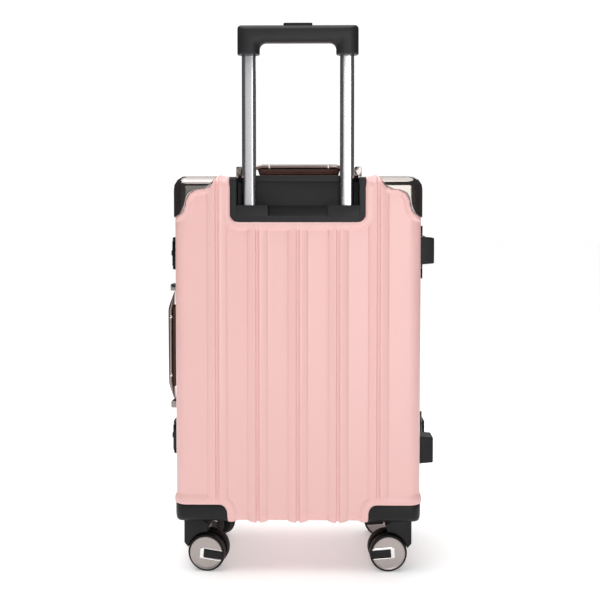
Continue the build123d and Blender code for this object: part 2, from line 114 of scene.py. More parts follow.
plain_card("studio_floor", (0, 0, 0), (30, 30), (0, 0, 0), "#EFEFEF", 0.40)
for side in (-1, 1):
    card = plain_card("grey_card", (side * 1.7, 0.2, 0.8), (3.4, 1.6), (90, 0, 90), "#565455")
    card.visible_camera = card.visible_diffuse = card.visible_shadow = False


def soft_light(name, place, size, aim, power):
    """An area light at a place, aimed at a point."""
    lamp = bpy.data.lights.new(name, "AREA")
    lamp.shape = "RECTANGLE"
    lamp.size, lamp.size_y = size
    lamp.energy = power
    light = bpy.data.objects.new(name, lamp)
    bpy.context.scene.collection.objects.link(light)
    light.location = place
    way = Vector(aim) - Vector(place)
    light.rotation_euler = way.to_track_quat("-Z", "Y").to_euler()
    return light


soft_light("front_softbox", (0.15, -2.5, 1.15), (1.5, 1.3), (0, 0, 0.4), 4)
strip = soft_light("strip_light", (0.22, -1.3, 0.6), (0.3, 1.3), (0, 0, 0.42), 3.7)
strip.visible_camera = False
soft_light("top_softbox", (-0.5, -0.7, 2.3), (1.6, 1.2), (0, 0, 0.4), 13)
soft_light("back_softbox", (0.3, 2.2, 1.8), (2.0, 1.2), (0, 0, 0.4), 14)
overhead = bpy.data.objects.new("overhead_silk", bpy.data.lights.new("overhead_silk", "SUN"))
bpy.context.scene.collection.objects.link(overhead)
overhead.data.energy = 2.1
overhead.data.angle = np.radians(60)
overhead.rotation_euler = (np.radians(-8), np.radians(-6), 0)
studio = bpy.data.worlds.new("studio")
bpy.context.scene.world = studio
studio.use_nodes = True
background = studio.node_tree.nodes["Background"]
background.inputs["Color"].default_value = linear("#FFFFFF")
# the paper behind the case is white to the eye, and lights it only dimly
seen = add_node(studio.node_tree, "ShaderNodeLightPath").outputs["Is Camera Ray"]
level = add_node(studio.node_tree, "ShaderNodeMapRange", {"To Min": 0.12, "To Max": 1.05},
                 {"Value": seen})
studio.node_tree.links.new(level.outputs["Result"], background.inputs["Strength"])


# ==== Shells: ribbed polycarbonate =========================================================
# Each half is a polycarbonate sheet drawn hot over a mould: a flat tray with rounded edges,
# five ribs that run over it, and raised rims round whatever is let into it. The sheet is
# 1.8 mm thick, faintly pebbled, and glossier in slow random patches.

low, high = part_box("back_frame")
half_x = high.x - 4 * mm                    # the frame stands 4 mm out from the shell
shell_low = low.z + 4 * mm
shell_high = high.z - 4 * mm
middle_z = (shell_low + shell_high) / 2
half_z = (shell_high - shell_low) / 2
depth = 106 * mm
edge = 16 * mm
sheet = 1.8 * mm
rib_pitch = 55.5 * mm
rib_rise = 3.8 * mm
frame_y = -low.y

pocket_low, pocket_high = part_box("trolley_bezel")
pocket_r = 12.5 * mm
housing_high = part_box("back_wheel_housing_left")[1]
guard_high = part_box("back_corner_guard_left")[1]


def ease(low_end, high_end, value):
    """0 below low_end, 1 above high_end, and a smooth cubic step between."""
    t = np.clip((value - low_end) / (high_end - low_end), 0, 1)
    return t * t * (3 - 2 * t)


def steps(*stops):
    """Joins even runs: start, then pairs of an end and the spacing on the way to it."""
    runs = [np.array([stops[0]])]
    for end, gap in zip(stops[1::2], stops[2::2]):
        start = runs[-1][-1]
        count = max(1, int(round(abs(end - start) / gap)))
        runs.append(np.linspace(start, end, count + 1)[1:])
    return np.concatenate(runs)


rib_half = np.array([0, 1.7, 2.05, 2.4, 2.75, 3.1, 4.2, 6, 8, 10, 12, 13.2, 13.6, 14, 14.5]) * mm
rib_cuts = np.concatenate([-rib_half[::-1], rib_half[1:]])
core_x = half_x - edge
core_z = half_z - edge


def across():
    """Places across the case: close on the ribs' slopes, and finer out to the corners."""
    cuts = [k * rib_pitch + rib_cuts for k in (-2, -1, 0, 1, 2)]
    flats = [steps(k * rib_pitch + 14.5 * mm, (k + 1) * rib_pitch - 14.5 * mm, 2.1 * mm)
             for k in (-2, 1)]
    flats += [steps(k * rib_pitch + 14.5 * mm, (k + 1) * rib_pitch - 14.5 * mm, 6 * mm)
              for k in (-1, 0)]
    outer = steps(2 * rib_pitch + 14.5 * mm, core_x, 1.8 * mm)
    every = np.concatenate(cuts + flats + [outer, -outer])
    return np.unique(np.round(every, 7))


def along():
    """Heights up the face: fine over the rims at both ends, a few rows between."""
    return middle_z + steps(-core_z, -core_z + 30 * mm, 1.8 * mm, core_z - 75 * mm, 45 * mm,
                            core_z, 1.6 * mm)


def smooth_path(points, count):
    """A Catmull-Rom curve through the points, count places on each stretch."""
    p = np.array(points, float)
    p = np.vstack([2 * p[0] - p[1], p, 2 * p[-1] - p[-2]])
    t = np.linspace(0, 1, count, endpoint=False)[:, None]
    runs = []
    for a, b, c, d in zip(p[:-3], p[1:-2], p[2:-1], p[3:]):
        runs.append(0.5 * (2 * b + (c - a) * t + (2 * a - 5 * b + 4 * c - d) * t ** 2
                           + (3 * b - a - 3 * c + d) * t ** 3))
    return np.vstack(runs + [p[-2][None, :]])


def guard_edge():
    """The S-shaped inner edge of a top corner guard: x and z, on the left of the case."""
    x, z = -half_x, shell_high
    shape = np.array([(57.0, 6), (57.0, 0), (55.0, -5), (51.5, -11), (46, -15.2), (39, -16.6),
                      (30, -18.2), (22, -23.5), (17.6, -32), (15.8, -41), (12.5, -48.5),
                      (7, -53), (0, -55.5), (-6, -56.5)]) * mm
    return smooth_path(shape, 6) + (x, z)


def far_from(points, x, z):
    """Distance from each place to a polyline's nearest corner, on the left or mirrored."""
    x = -np.abs(x)
    gap = np.hypot(x[..., None] - points[:, 0], z[..., None] - points[:, 1])
    nearest = gap.argmin(-1)
    return gap.min(-1), nearest


def box_gap(x, z, x0, x1, z0, z1, r):
    """Signed distance in the face's plane to a rectangle with round corners; under 0 inside."""
    dx = np.abs(x - (x0 + x1) / 2) - ((x1 - x0) / 2 - r)
    dz = np.abs(z - (z0 + z1) / 2) - ((z1 - z0) / 2 - r)
    out = np.hypot(np.maximum(dx, 0), np.maximum(dz, 0))
    return out + np.minimum(np.maximum(dx, dz), 0) - r


def housing_gap(p):
    """Distance to the wheel housings' cut-outs, which are open at the sides and below."""
    gap = box_gap(np.abs(p[..., 0]), p[..., 2], -housing_high.x, 0.4, -0.2, housing_high.z,
                  12 * mm)
    return np.maximum(gap, p[..., 1] - housing_high.y)


def pocket_gap(p):
    """Distance to the trolley pocket's cut-out, which is open at the top of the case."""
    gap = box_gap(p[..., 0], p[..., 2], pocket_low.x, pocket_high.x, pocket_low.z, 0.9, pocket_r)
    return np.maximum(gap, p[..., 1] - pocket_high.y)


def inside_guard(x, z):
    """True within the guards' outline: left of, or above, the S-shaped edge."""
    line = guard_edge()
    x = -np.abs(x)
    order = np.argsort(-line[:, 1])
    reach = np.interp(-z, -line[order, 1], line[order, 0])
    return (x < reach) & (z > line[-2, 1])


def relief(p, normal, has_pocket):
    """How far the sheet stands out of the plain tray at each place.

    Each rib is a low roof across x, curved down to a crisp foot, with a square groove along its
    ridge; the rims are bands that follow the distance to the pocket, housings and guards.
    """
    x, y, z = p[..., 0], p[..., 1], p[..., 2]
    off = np.abs(x - np.round(np.clip(x / rib_pitch, -2, 2)) * rib_pitch)
    slope = np.clip((off - 3 * mm) / (11 * mm), 0, 1) ** 1.5
    rib = rib_rise * (1 - 0.78 * slope) * (1 - ease(13.2 * mm, 14.2 * mm, off))
    groove = 2.5 * mm * (1 - ease(1.75 * mm, 2.85 * mm, off))
    side = np.abs(normal[..., 0]) > 0.7
    rib = np.where(side, 0, rib)
    groove = np.where(side, 0, groove)
    near_frame = ease(-frame_y - 3.5 * mm, -frame_y - 0.4 * mm, y)
    on_face = ease(0.2, 0.8, -normal[..., 1])

    gap, _ = far_from(guard_edge(), x, z)
    under = inside_guard(x, z)
    gap = np.where(under, 0, gap)
    bead = 2.2 * mm * (1 - ease(5.0 * mm, 6.8 * mm, gap)) * on_face
    hidden = under & (y < guard_high.y)
    rise = np.maximum(np.where(hidden, 0, rib - groove), np.where(hidden, 0, bead))
    if has_pocket:
        gap = pocket_gap(p)
        rim = 3.3 * mm * (1 - ease(8.4 * mm, 10.4 * mm, gap)) * on_face
        cut = 1 - ease(9.0 * mm, 11.0 * mm, gap)
        rise = np.maximum(np.where(cut > 0, rise + groove * cut, rise), rim)
        rise = rise * ease(-0.6 * mm, 1.6 * mm, gap) - 3.0 * mm * (1 - ease(-0.9 * mm, 0.2 * mm, gap))
    gap = housing_gap(p)
    swell = np.sqrt(np.clip(1 - ((gap - 5.2 * mm) / (7.2 * mm)) ** 2, 0, 1))
    rise = np.maximum(rise * ease(0, 12 * mm, gap), 2.7 * mm * swell)
    rise = np.where(gap < 0.4 * mm, -2.2 * mm * (1 - ease(-1.6 * mm, 0.4 * mm, gap)), rise)
    return rise * (1 - near_frame)


def surface(name, points, faces):
    """A mesh object from an array of points and a list of faces."""
    mesh = bpy.data.meshes.new(name)
    mesh.from_pydata(points.reshape(-1, 3).tolist(), [], faces.tolist())
    piece = bpy.data.objects.new(name, mesh)
    bpy.context.scene.collection.objects.link(piece)
    mesh.polygons.foreach_set("use_smooth", np.ones(len(mesh.polygons), bool))
    return piece


def grid_faces(rows, columns, wrap_rows=False, wrap_columns=False):
    """Quads over a grid of points numbered row by row."""
    index = np.arange(rows * columns).reshape(rows, columns)
    if wrap_rows:
        index = np.vstack([index, index[:1]])
    if wrap_columns:
        index = np.hstack([index, index[:, :1]])
    quads = [index[:-1, :-1], index[:-1, 1:], index[1:, 1:], index[1:, :-1]]
    return np.stack(quads, -1).reshape(-1, 4)


def tidy_mesh(piece, weld=0.00002):
    """Welds doubled points, drops collapsed faces and points the faces outwards."""
    work = bmesh.new()
    work.from_mesh(piece.data)
    bmesh.ops.remove_doubles(work, verts=work.verts, dist=weld)
    bmesh.ops.dissolve_degenerate(work, edges=work.edges, dist=weld)
    bmesh.ops.recalc_face_normals(work, faces=work.faces)
    work.to_mesh(piece.data)
    work.free()
    return piece


def perimeter(xs, zs, turns=7):
    """Places round the tray's core and the way out at each: the corners turn on one place."""
    quarter = np.radians(np.linspace(0, 90, turns))[1:-1]
    sides = []
    runs = [(xs, np.full_like(xs, zs[-1]), 90), (np.full_like(zs, xs[-1]), zs[::-1], 0),
            (xs[::-1], np.full_like(xs, zs[0]), -90), (np.full_like(zs, xs[0]), zs, 180)]
    for x, z, way in runs:
        turn = np.radians(way)
        start = np.stack([x, z, np.full_like(x, turn)], -1)
        corner = np.stack([np.full_like(quarter, x[-1]), np.full_like(quarter, z[-1]),
                           turn - quarter], -1)
        sides += [start, corner]
    loop = np.vstack(sides)
    return loop[:, :2], np.stack([np.cos(loop[:, 2]), np.sin(loop[:, 2])], -1)


def tray(xs, zs, seam, has_pocket):
    """Points, normals and faces of one half: a face grid, and a band round it that turns the
    edge on a quarter circle and runs back to the seam."""
    gx, gz = np.meshgrid(xs, zs)
    face = np.stack([gx, np.full_like(gx, -depth), gz], -1)
    face_n = np.broadcast_to([0.0, -1.0, 0.0], face.shape)
    core, way = perimeter(xs, zs)
    angle = np.radians(np.linspace(0, 90, 10))
    back = steps(-depth + edge, -50 * mm, 10 * mm, -20 * mm, 1.9 * mm, seam, 5 * mm)[1:]
    out = np.concatenate([edge * np.sin(angle), np.full(len(back), edge)])
    y = np.concatenate([-depth + edge - edge * np.cos(angle), back])
    lean = np.concatenate([np.sin(angle), np.ones(len(back))])
    fore = np.concatenate([-np.cos(angle), np.zeros(len(back))])
    band = np.empty((len(core), len(y), 3))
    band[..., 0] = core[:, :1] + way[:, :1] * out
    band[..., 2] = core[:, 1:] + way[:, 1:] * out
    band[..., 1] = y
    band_n = np.empty_like(band)
    band_n[..., 0] = way[:, :1] * lean
    band_n[..., 2] = way[:, 1:] * lean
    band_n[..., 1] = fore
    points = np.vstack([face.reshape(-1, 3), band.reshape(-1, 3)])
    normals = np.vstack([face_n.reshape(-1, 3), band_n.reshape(-1, 3)])
    faces = np.vstack([grid_faces(len(zs), len(xs)),
                       grid_faces(len(core), len(y), wrap_rows=True) + face.size // 3])
    rise = relief(points, normals, has_pocket)
    middle = points[faces].mean(1)
    hole = housing_gap(middle) < -5 * mm
    if has_pocket:
        hole |= pocket_gap(middle) < -5 * mm
    return points + normals * rise[:, None], faces[~hole]


def shell(name, has_pocket):
    """One half of the case: the ribbed tray, mirrored for the lid, with its wall thickness."""
    points, faces = tray(across(), along(), -5 * mm, has_pocket)
    if not has_pocket:
        points = points * (1, -1, 1)
    piece = tidy_mesh(surface(name, points, faces))
    wall = piece.modifiers.new("sheet", "SOLIDIFY")
    wall.thickness = sheet
    wall.offset = -1
    return piece


pink, tree, shader = new_material("moulded_polycarbonate_pink", "#ECBBB7", 0.36,
                                  Coat_Weight=0.18, Coat_Roughness=0.3, IOR=1.58)
place = add_node(tree, "ShaderNodeTexCoord").outputs["Object"]
# pebbling from the mould, 0.9 mm across, and slow drifts of tone a hand wide
pebble = add_node(tree, "ShaderNodeTexNoise", {"Scale": 1 / (0.9 * mm), "Detail": 2.0},
                  {"Vector": place}).outputs["Fac"]
drift = add_node(tree, "ShaderNodeTexNoise", {"Scale": 7.0, "Detail": 3.0},
                 {"Vector": place}).outputs["Fac"]
shade = add_node(tree, "ShaderNodeMix", {"data_type": "RGBA", 6: linear("#EBBBB7"), 7: linear("#F0C0BC")},
                 {0: drift})
tree.links.new(shade.outputs[2], shader.inputs["Base Color"])
rough = add_node(tree, "ShaderNodeMapRange", {"To Min": 0.31, "To Max": 0.43}, {"Value": drift})
tree.links.new(rough.outputs["Result"], shader.inputs["Roughness"])
bump = add_node(tree, "ShaderNodeBump", {"Strength": 0.16, "Distance": 0.05 * mm},
                {"Height": pebble})
tree.links.new(bump.outputs["Normal"], shader.inputs["Normal"])

for name, body, has_pocket in (("back_shell", "back_half", True), ("front_shell", "lid", False)):
    piece = shell(name + "_sheet", has_pocket)
    piece.data.materials.append(pink)
    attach(piece, body)
    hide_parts(name)


# ==== Corner guards: chromed steel =========================================================
# Each top corner carries a pressed steel guard, plated in a dark gunmetal chrome. It is bent
# over the corner of the shell, its S-shaped lip rolled down onto the sheet, and it is riveted
# from inside.

guard_rise = 1.9 * mm


def corner_guard(name, x_sign, y_sign):
    """A patch over the corner. Each row starts on the S-shaped edge, runs over the face to the
    core of the tray's outline, rolls round its edge and back; t is the length along a row from
    the core, under 0 on the face. It swells from its rim like a pressing."""
    line = guard_edge()
    line = line[(line[:, 1] <= shell_high + 1e-6) & (line[:, 0] >= -half_x - 1e-6)]
    core_l, core_t = -core_x, middle_z + core_z
    x, z = line[:, 0], line[:, 1]
    place = np.arange(len(line))
    top_end = place[z > core_t][-1]
    side_start = place[x < core_l][0]
    share = np.clip((place - top_end) / (side_start - top_end), 0, 1)
    cx = np.where(share > 0, x[top_end] + (core_l - x[top_end]) * np.clip(share / 0.44, 0, 1), x)
    cz = np.where(share < 1, core_t + (z[side_start] - core_t) * np.clip(share / 0.44 - 1.27, 0, 1),
                  z)
    turn = np.radians(90 + 90 * np.clip((share - 0.44) / 0.12, 0, 1))
    reach = np.hypot(x - cx, z - cz)
    over = np.where(share <= 0, z - core_t, np.where(share >= 1, core_l - x, 0))
    first = np.where(over > 0, edge * np.arcsin(np.clip(over / edge, 0, 1)), -reach)
    quarter = edge * np.pi / 2
    last = quarter + depth - edge + guard_high.y
    fine = 0.5 - 0.5 * np.cos(np.pi * np.linspace(0, 1, 44))
    t = first[:, None] + (last - first)[:, None] * fine
    back = np.clip(-t / np.maximum(reach, 1e-9)[:, None], 0, 1) * (t < 0)
    angle = np.clip(t / edge, 0, np.pi / 2)
    out = edge * np.sin(angle)
    way_x, way_z = np.cos(turn)[:, None], np.sin(turn)[:, None]
    points = np.stack([cx[:, None] + (x - cx)[:, None] * back + way_x * out,
                       -depth + edge - edge * np.cos(angle) + np.maximum(t - quarter, 0),
                       cz[:, None] + (z - cz)[:, None] * back + way_z * out], -1)
    normal = np.stack([way_x * np.sin(angle), -np.cos(angle), way_z * np.sin(angle)], -1)
    rows = place[:, None]
    ends = np.minimum(rows, rows[::-1]) * 1.3 * mm
    rim = np.minimum(np.minimum(t - first[:, None], last - t), ends)
    swell = np.sqrt(np.clip(1 - (1 - np.clip(rim / (2.6 * mm), 0, 1)) ** 2, 0, 1))
    points = points + normal * (0.15 * mm + guard_rise * swell)[..., None]
    points = points * (x_sign, y_sign, 1)
    piece = tidy_mesh(surface(name, points, grid_faces(*t.shape)))
    lean = np.array([p.normal for p in piece.data.polygons])
    centre = np.array([p.center for p in piece.data.polygons])
    if (lean * (centre - (0, 0, middle_z))).sum() < 0:
        piece.data.flip_normals()
    wall = piece.modifiers.new("steel", "SOLIDIFY")
    wall.thickness = 0.9 * mm
    wall.offset = -1
    return piece


gunmetal, tree, shader = new_material("gunmetal_chrome_plate", "#8A8480", 0.07, Metallic=1.0)
place = add_node(tree, "ShaderNodeTexCoord").outputs["Object"]
# fine handling scratches: noise stretched 30 to 1, and a faint haze in the plating
stretch = add_node(tree, "ShaderNodeMapping", {"Scale": (1, 1, 30), "Rotation": (0.3, 0.5, 0.2)},
                   {"Vector": place})
scratch = add_node(tree, "ShaderNodeTexNoise", {"Scale": 60.0, "Detail": 4.0},
                   {"Vector": stretch.outputs["Vector"]}).outputs["Fac"]
haze = add_node(tree, "ShaderNodeMapRange",
                {"From Min": 0.35, "From Max": 0.8, "To Min": 0.05, "To Max": 0.16},
                {"Value": scratch})
tree.links.new(haze.outputs["Result"], shader.inputs["Roughness"])
bump = add_node(tree, "ShaderNodeBump", {"Strength": 0.05, "Distance": 0.02 * mm},
                {"Height": scratch})
tree.links.new(bump.outputs["Normal"], shader.inputs["Normal"])

for y_name, body, y_sign in (("back", "back_half", 1), ("front", "lid", -1)):
    for x_name, x_sign in (("left", 1), ("right", -1)):
        node = y_name + "_corner_guard_" + x_name
        piece = corner_guard(node + "_pressing", x_sign, y_sign)
        piece.data.materials.append(gunmetal)
        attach(piece, body)
        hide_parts(node)


# ==== Frame: anodised aluminium extrusions ================================================
# Two aluminium rings, sawn from extrusion and bent round the case, grip the shells' edges.
# Their outer face has two fine grooves from the die and a bright bronze-silver anodised skin;
# the lid's ring also holds a rubber gasket.


def rounded_loop(corners, radius, turns=4):
    """A closed outline through corners, each rounded by an arc of that radius."""
    p = np.array(corners, float)
    before = np.roll(p, 1, 0) - p
    after = np.roll(p, -1, 0) - p
    a = np.linalg.norm(before, axis=1, keepdims=True)
    b = np.linalg.norm(after, axis=1, keepdims=True)
    r = np.minimum(radius, 0.45 * np.minimum(a, b))
    start = p + before / a * r
    end = p + after / b * r
    t = np.linspace(0, 1, turns)[None, :, None]
    bend = (1 - t) ** 2 * start[:, None] + 2 * t * (1 - t) * p[:, None] + t ** 2 * end[:, None]
    return bend.reshape(-1, 2)


def frame_ring(name, section, flip):
    """The closed section (out from the outline, and y) carried round the case's outline."""
    straight_x = steps(-core_x, core_x, 40 * mm)
    straight_z = middle_z + steps(-core_z, core_z, 40 * mm)
    core, way = perimeter(straight_x, straight_z, turns=12)
    points = np.empty((len(core), len(section), 3))
    points[..., 0] = core[:, :1] + way[:, :1] * (edge + section[:, 0])
    points[..., 2] = core[:, 1:] + way[:, 1:] * (edge + section[:, 0])
    points[..., 1] = section[:, 1] * (-1 if flip else 1)
    return tidy_mesh(surface(name, points, grid_faces(len(core), len(section), True, True)))


seam = 0.15 * mm
inner_groove = [(4, -7.2), (3.4, -7.7), (3.4, -8.5), (4, -9.0)]
outer_groove = [(4, -frame_y / mm + 3.2), (3.5, -frame_y / mm + 2.8), (3.5, -frame_y / mm + 2.2),
                (4, -frame_y / mm + 1.8)]
channel = [(-5, -seam / mm), (4, -seam / mm)] + inner_groove + outer_groove + [
    (4, -frame_y / mm), (0.15, -frame_y / mm), (0.15, -4), (-1.95, -4), (-1.95, -frame_y / mm),
    (-5, -frame_y / mm)]
section = rounded_loop(np.array(channel) * mm, 0.5 * mm)

anodised, tree, shader = new_material("anodised_aluminium_frame", "#B9B2AC", 0.27, Metallic=1.0)
place = add_node(tree, "ShaderNodeTexCoord").outputs["Object"]
# drawing lines from the die run with the extrusion, about 0.4 mm apart across y
lines = add_node(tree, "ShaderNodeMapping", {"Scale": (0.004, 1, 0.004)}, {"Vector": place})
grain = add_node(tree, "ShaderNodeTexNoise", {"Scale": 1 / (0.4 * mm), "Detail": 2.0},
                 {"Vector": lines.outputs["Vector"]}).outputs["Fac"]
rough = add_node(tree, "ShaderNodeMapRange", {"To Min": 0.24, "To Max": 0.31}, {"Value": grain})
tree.links.new(rough.outputs["Result"], shader.inputs["Roughness"])
bump = add_node(tree, "ShaderNodeBump", {"Strength": 0.1, "Distance": 0.01 * mm},
                {"Height": grain})
tree.links.new(bump.outputs["Normal"], shader.inputs["Normal"])

for node, body, flip in (("back_frame", "back_half", False), ("front_frame", "lid", True)):
    piece = frame_ring(node + "_extrusion", section, flip)
    piece.data.materials.append(anodised)
    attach(piece, body)
    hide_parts(node)

gasket, tree, shader = new_material("foamed_rubber_gasket", "#1A1A1B", 0.85)
place = add_node(tree, "ShaderNodeTexCoord").outputs["Object"]
# open pores 0.6 mm across leave it matt and nearly black
pores = add_node(tree, "ShaderNodeTexNoise", {"Scale": 1 / (0.6 * mm)}, {"Vector": place})
bump = add_node(tree, "ShaderNodeBump", {"Strength": 0.3, "Distance": 0.1 * mm},
                {"Height": pores.outputs["Fac"]})
tree.links.new(bump.outputs["Normal"], shader.inputs["Normal"])
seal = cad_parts["frame_seal"]
seal.data.materials.clear()
seal.data.materials.append(gasket)


# ==== Moulded and pressed fittings ========================================================
# The black fittings are injection moulded ABS or nylon, fine spark grain all over, their edges
# rounded by the mould. The hinges and locks are die castings and pressings with broken edges.


def fitting(node, radius, name=None, angle=32):
    """A copy of a CAD node's shape with its edges rounded, standing in for it."""
    piece = bpy.data.objects.new(name or node + "_moulding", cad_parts[node].data.copy())
    bpy.context.scene.collection.objects.link(piece)
    piece.data.materials.clear()
    work = bmesh.new()
    work.from_mesh(piece.data)
    bmesh.ops.remove_doubles(work, verts=work.verts, dist=0.00002)
    bmesh.ops.dissolve_limit(work, angle_limit=np.radians(1.0), verts=work.verts, edges=work.edges)
    work.to_mesh(piece.data)
    work.free()
    piece.data.polygons.foreach_set("use_smooth", np.ones(len(piece.data.polygons), bool))
    soft = piece.modifiers.new("edges", "BEVEL")
    soft.width = radius
    soft.segments = 3
    soft.limit_method = "ANGLE"
    soft.angle_limit = np.radians(angle)
    soft.harden_normals = True
    soft.miter_outer = "MITER_ARC"
    return piece


def squared(points, out):
    """Squares the round bottom corners: a circle's arc about the core becomes a superellipse."""
    power = 5.0
    x, z = np.abs(points[:, 0]) - core_x, middle_z - core_z - points[:, 2]
    corner = (x > 0) & (z > 0)
    angle = np.arctan2(z, x)
    grow = (np.abs(np.cos(angle)) ** power + np.abs(np.sin(angle)) ** power) ** (-1 / power)
    grow = np.where(corner, 1 + (grow - 1) * out, 1)
    moved = points.copy()
    moved[:, 0] = np.where(corner, np.sign(points[:, 0]) * (core_x + x * grow), points[:, 0])
    moved[:, 2] = np.where(corner, middle_z - core_z - z * grow, points[:, 2])
    return moved


def black_plastic(name, colour, roughness, grain, depth_of_grain):
    """Moulded black plastic: a spark grain a fraction of a millimetre across, worn smoother in
    patches a finger wide."""
    material, tree, shader = new_material(name, colour, roughness, Specular_IOR_Level=0.28)
    place = add_node(tree, "ShaderNodeTexCoord").outputs["Object"]
    spark = add_node(tree, "ShaderNodeTexNoise", {"Scale": 1 / grain, "Detail": 3.0},
                     {"Vector": place}).outputs["Fac"]
    worn = add_node(tree, "ShaderNodeTexNoise", {"Scale": 45.0, "Detail": 3.0},
                    {"Vector": place}).outputs["Fac"]
    rough = add_node(tree, "ShaderNodeMapRange",
                     {"To Min": roughness - 0.08, "To Max": roughness + 0.1}, {"Value": worn})
    tree.links.new(rough.outputs["Result"], shader.inputs["Roughness"])
    bump = add_node(tree, "ShaderNodeBump", {"Strength": 0.35, "Distance": depth_of_grain},
                    {"Height": spark})
    tree.links.new(bump.outputs["Normal"], shader.inputs["Normal"])
    return material


abs_black = black_plastic("spark_grained_abs_black", "#0F0F11", 0.42, 0.7 * mm, 0.06 * mm)
abs_grey = black_plastic("spark_grained_abs_charcoal", "#1D1D1F", 0.44, 0.8 * mm, 0.07 * mm)
nylon = black_plastic("moulded_nylon_black", "#0C0C0D", 0.38, 0.9 * mm, 0.05 * mm)

moulded = [("trolley_bezel", "back_half", 0.7, abs_grey), ("tube_foot_bracket", "back_half", 0.8, nylon),
           ("strap_buckle", "back_half", 1.6, nylon), ("release_button", "release", 0.5, abs_black),
           ("tube_lock_blocks", "pull_handle", 0.5, nylon)]
for y_name, body in (("back", "back_half"), ("front", "lid")):
    moulded.append((y_name + "_side_feet", body, 1.2, abs_black))
    for x_name in ("left", "right"):
        moulded.append((f"{y_name}_wheel_housing_{x_name}", body, 0.8, nylon))
        moulded.append((f"{y_name}_{x_name}_fork", f"{y_name}_{x_name}_swivel", 0.9, nylon))
housing_squaring = 0.85                     # how far towards a square corner
foot_height = 0.88                          # the feet are drawn lower than their CAD solids
for node, body, radius, material in moulded:
    piece = fitting(node, radius * mm)
    if "housing" in node or "feet" in node:
        places = np.empty(len(piece.data.vertices) * 3)
        piece.data.vertices.foreach_get("co", places)
        places = places.reshape(-1, 3)
        if "housing" in node:
            places = squared(places, housing_squaring)
        else:
            places[:, 0] = half_x + (places[:, 0] - half_x) * foot_height
        piece.data.vertices.foreach_set("co", places.ravel())
    piece.data.materials.append(material)
    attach(piece, body)
    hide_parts(node)


def capped(rings):
    """Closes a run of rings at both ends, each on the middle of its last ring."""
    ends = [np.broadcast_to(ring.mean(0), ring.shape)[None] for ring in (rings[0], rings[-1])]
    return np.concatenate([ends[0], rings, ends[1]])


def carried(path, section):
    """A closed section (sideways, and back from the face) carried along an open path in x, z."""
    tangent = np.gradient(path, axis=0)
    tangent /= np.linalg.norm(tangent, axis=1, keepdims=True)
    inward = np.column_stack([-tangent[:, 1], tangent[:, 0]])
    flat = path[:, None] + inward[:, None] * section[None, :, :1]
    back = np.broadcast_to(section[:, 1], flat.shape[:2])
    rings = np.stack([flat[..., 0], back, flat[..., 1]], -1)
    return capped(rings)


# the bezel's border runs down one side, round both bottom corners and up the other side
bend = np.radians(np.linspace(180, 270, 14))
left = np.column_stack([pocket_low.x + pocket_r + pocket_r * np.cos(bend),
                        pocket_low.z + pocket_r + pocket_r * np.sin(bend)])
left = np.vstack([np.column_stack([np.full(8, pocket_low.x),
                                   np.linspace(shell_high, pocket_low.z + 15 * mm, 8)]), left,
                  np.column_stack([np.linspace(-0.07, 0, 6), np.full(6, pocket_low.z)])])
path = np.vstack([left, left[-2::-1] * (-1, 1)])
border = rounded_loop(np.array([(-0.2, -105), (-0.2, -106.9), (8.9, -106.9), (8.9, -103)]) * mm,
                      0.9 * mm, 6)
rings = carried(path, border)
bezel_border = tidy_mesh(surface("trolley_bezel_border", rings,
                                 grid_faces(rings.shape[0], rings.shape[1], False, True)))
lip_path = np.column_stack([np.linspace(pocket_low.x + 9 * mm, -pocket_low.x - 9 * mm, 12),
                            np.full(12, shell_high + 3.6 * mm)])
rings = carried(lip_path, rounded_loop(np.array([(0, -71.0), (0, -64.6), (-9, -64.6),
                                                 (-9, -71.0)]) * mm, 0.8 * mm, 5))
bezel_lip = tidy_mesh(surface("trolley_bezel_lip", rings,
                              grid_faces(rings.shape[0], rings.shape[1], False, True)))
for piece in (bezel_border, bezel_lip):
    piece.data.materials.append(abs_grey)
    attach(piece, "back_half")

lock_black, tree, shader = new_material("black_nickel_die_casting", "#2A2A2C", 0.22, Metallic=0.9)
place = add_node(tree, "ShaderNodeTexCoord").outputs["Object"]
# cloudy plating: a black mirror broken by patches about 8 mm across
cloud = add_node(tree, "ShaderNodeTexNoise", {"Scale": 120.0, "Detail": 4.0}, {"Vector": place})
rough = add_node(tree, "ShaderNodeMapRange", {"To Min": 0.14, "To Max": 0.34},
                 {"Value": cloud.outputs["Fac"]})
tree.links.new(rough.outputs["Result"], shader.inputs["Roughness"])
bump = add_node(tree, "ShaderNodeBump", {"Strength": 0.08, "Distance": 0.05 * mm},
                {"Height": cloud.outputs["Fac"]})
tree.links.new(bump.outputs["Normal"], shader.inputs["Normal"])

zinc, tree, shader = new_material("zinc_plated_steel", "#A9A8A6", 0.28, Metallic=1.0)
place = add_node(tree, "ShaderNodeTexCoord").outputs["Object"]
# crystals 2.5 mm across, some duller than others, give a grey speckle
spangle = add_node(tree, "ShaderNodeTexVoronoi", {"Scale": 400.0}, {"Vector": place})
rough = add_node(tree, "ShaderNodeMapRange", {"To Min": 0.22, "To Max": 0.36},
                 {"Value": spangle.outputs["Distance"]})
tree.links.new(rough.outputs["Result"], shader.inputs["Roughness"])

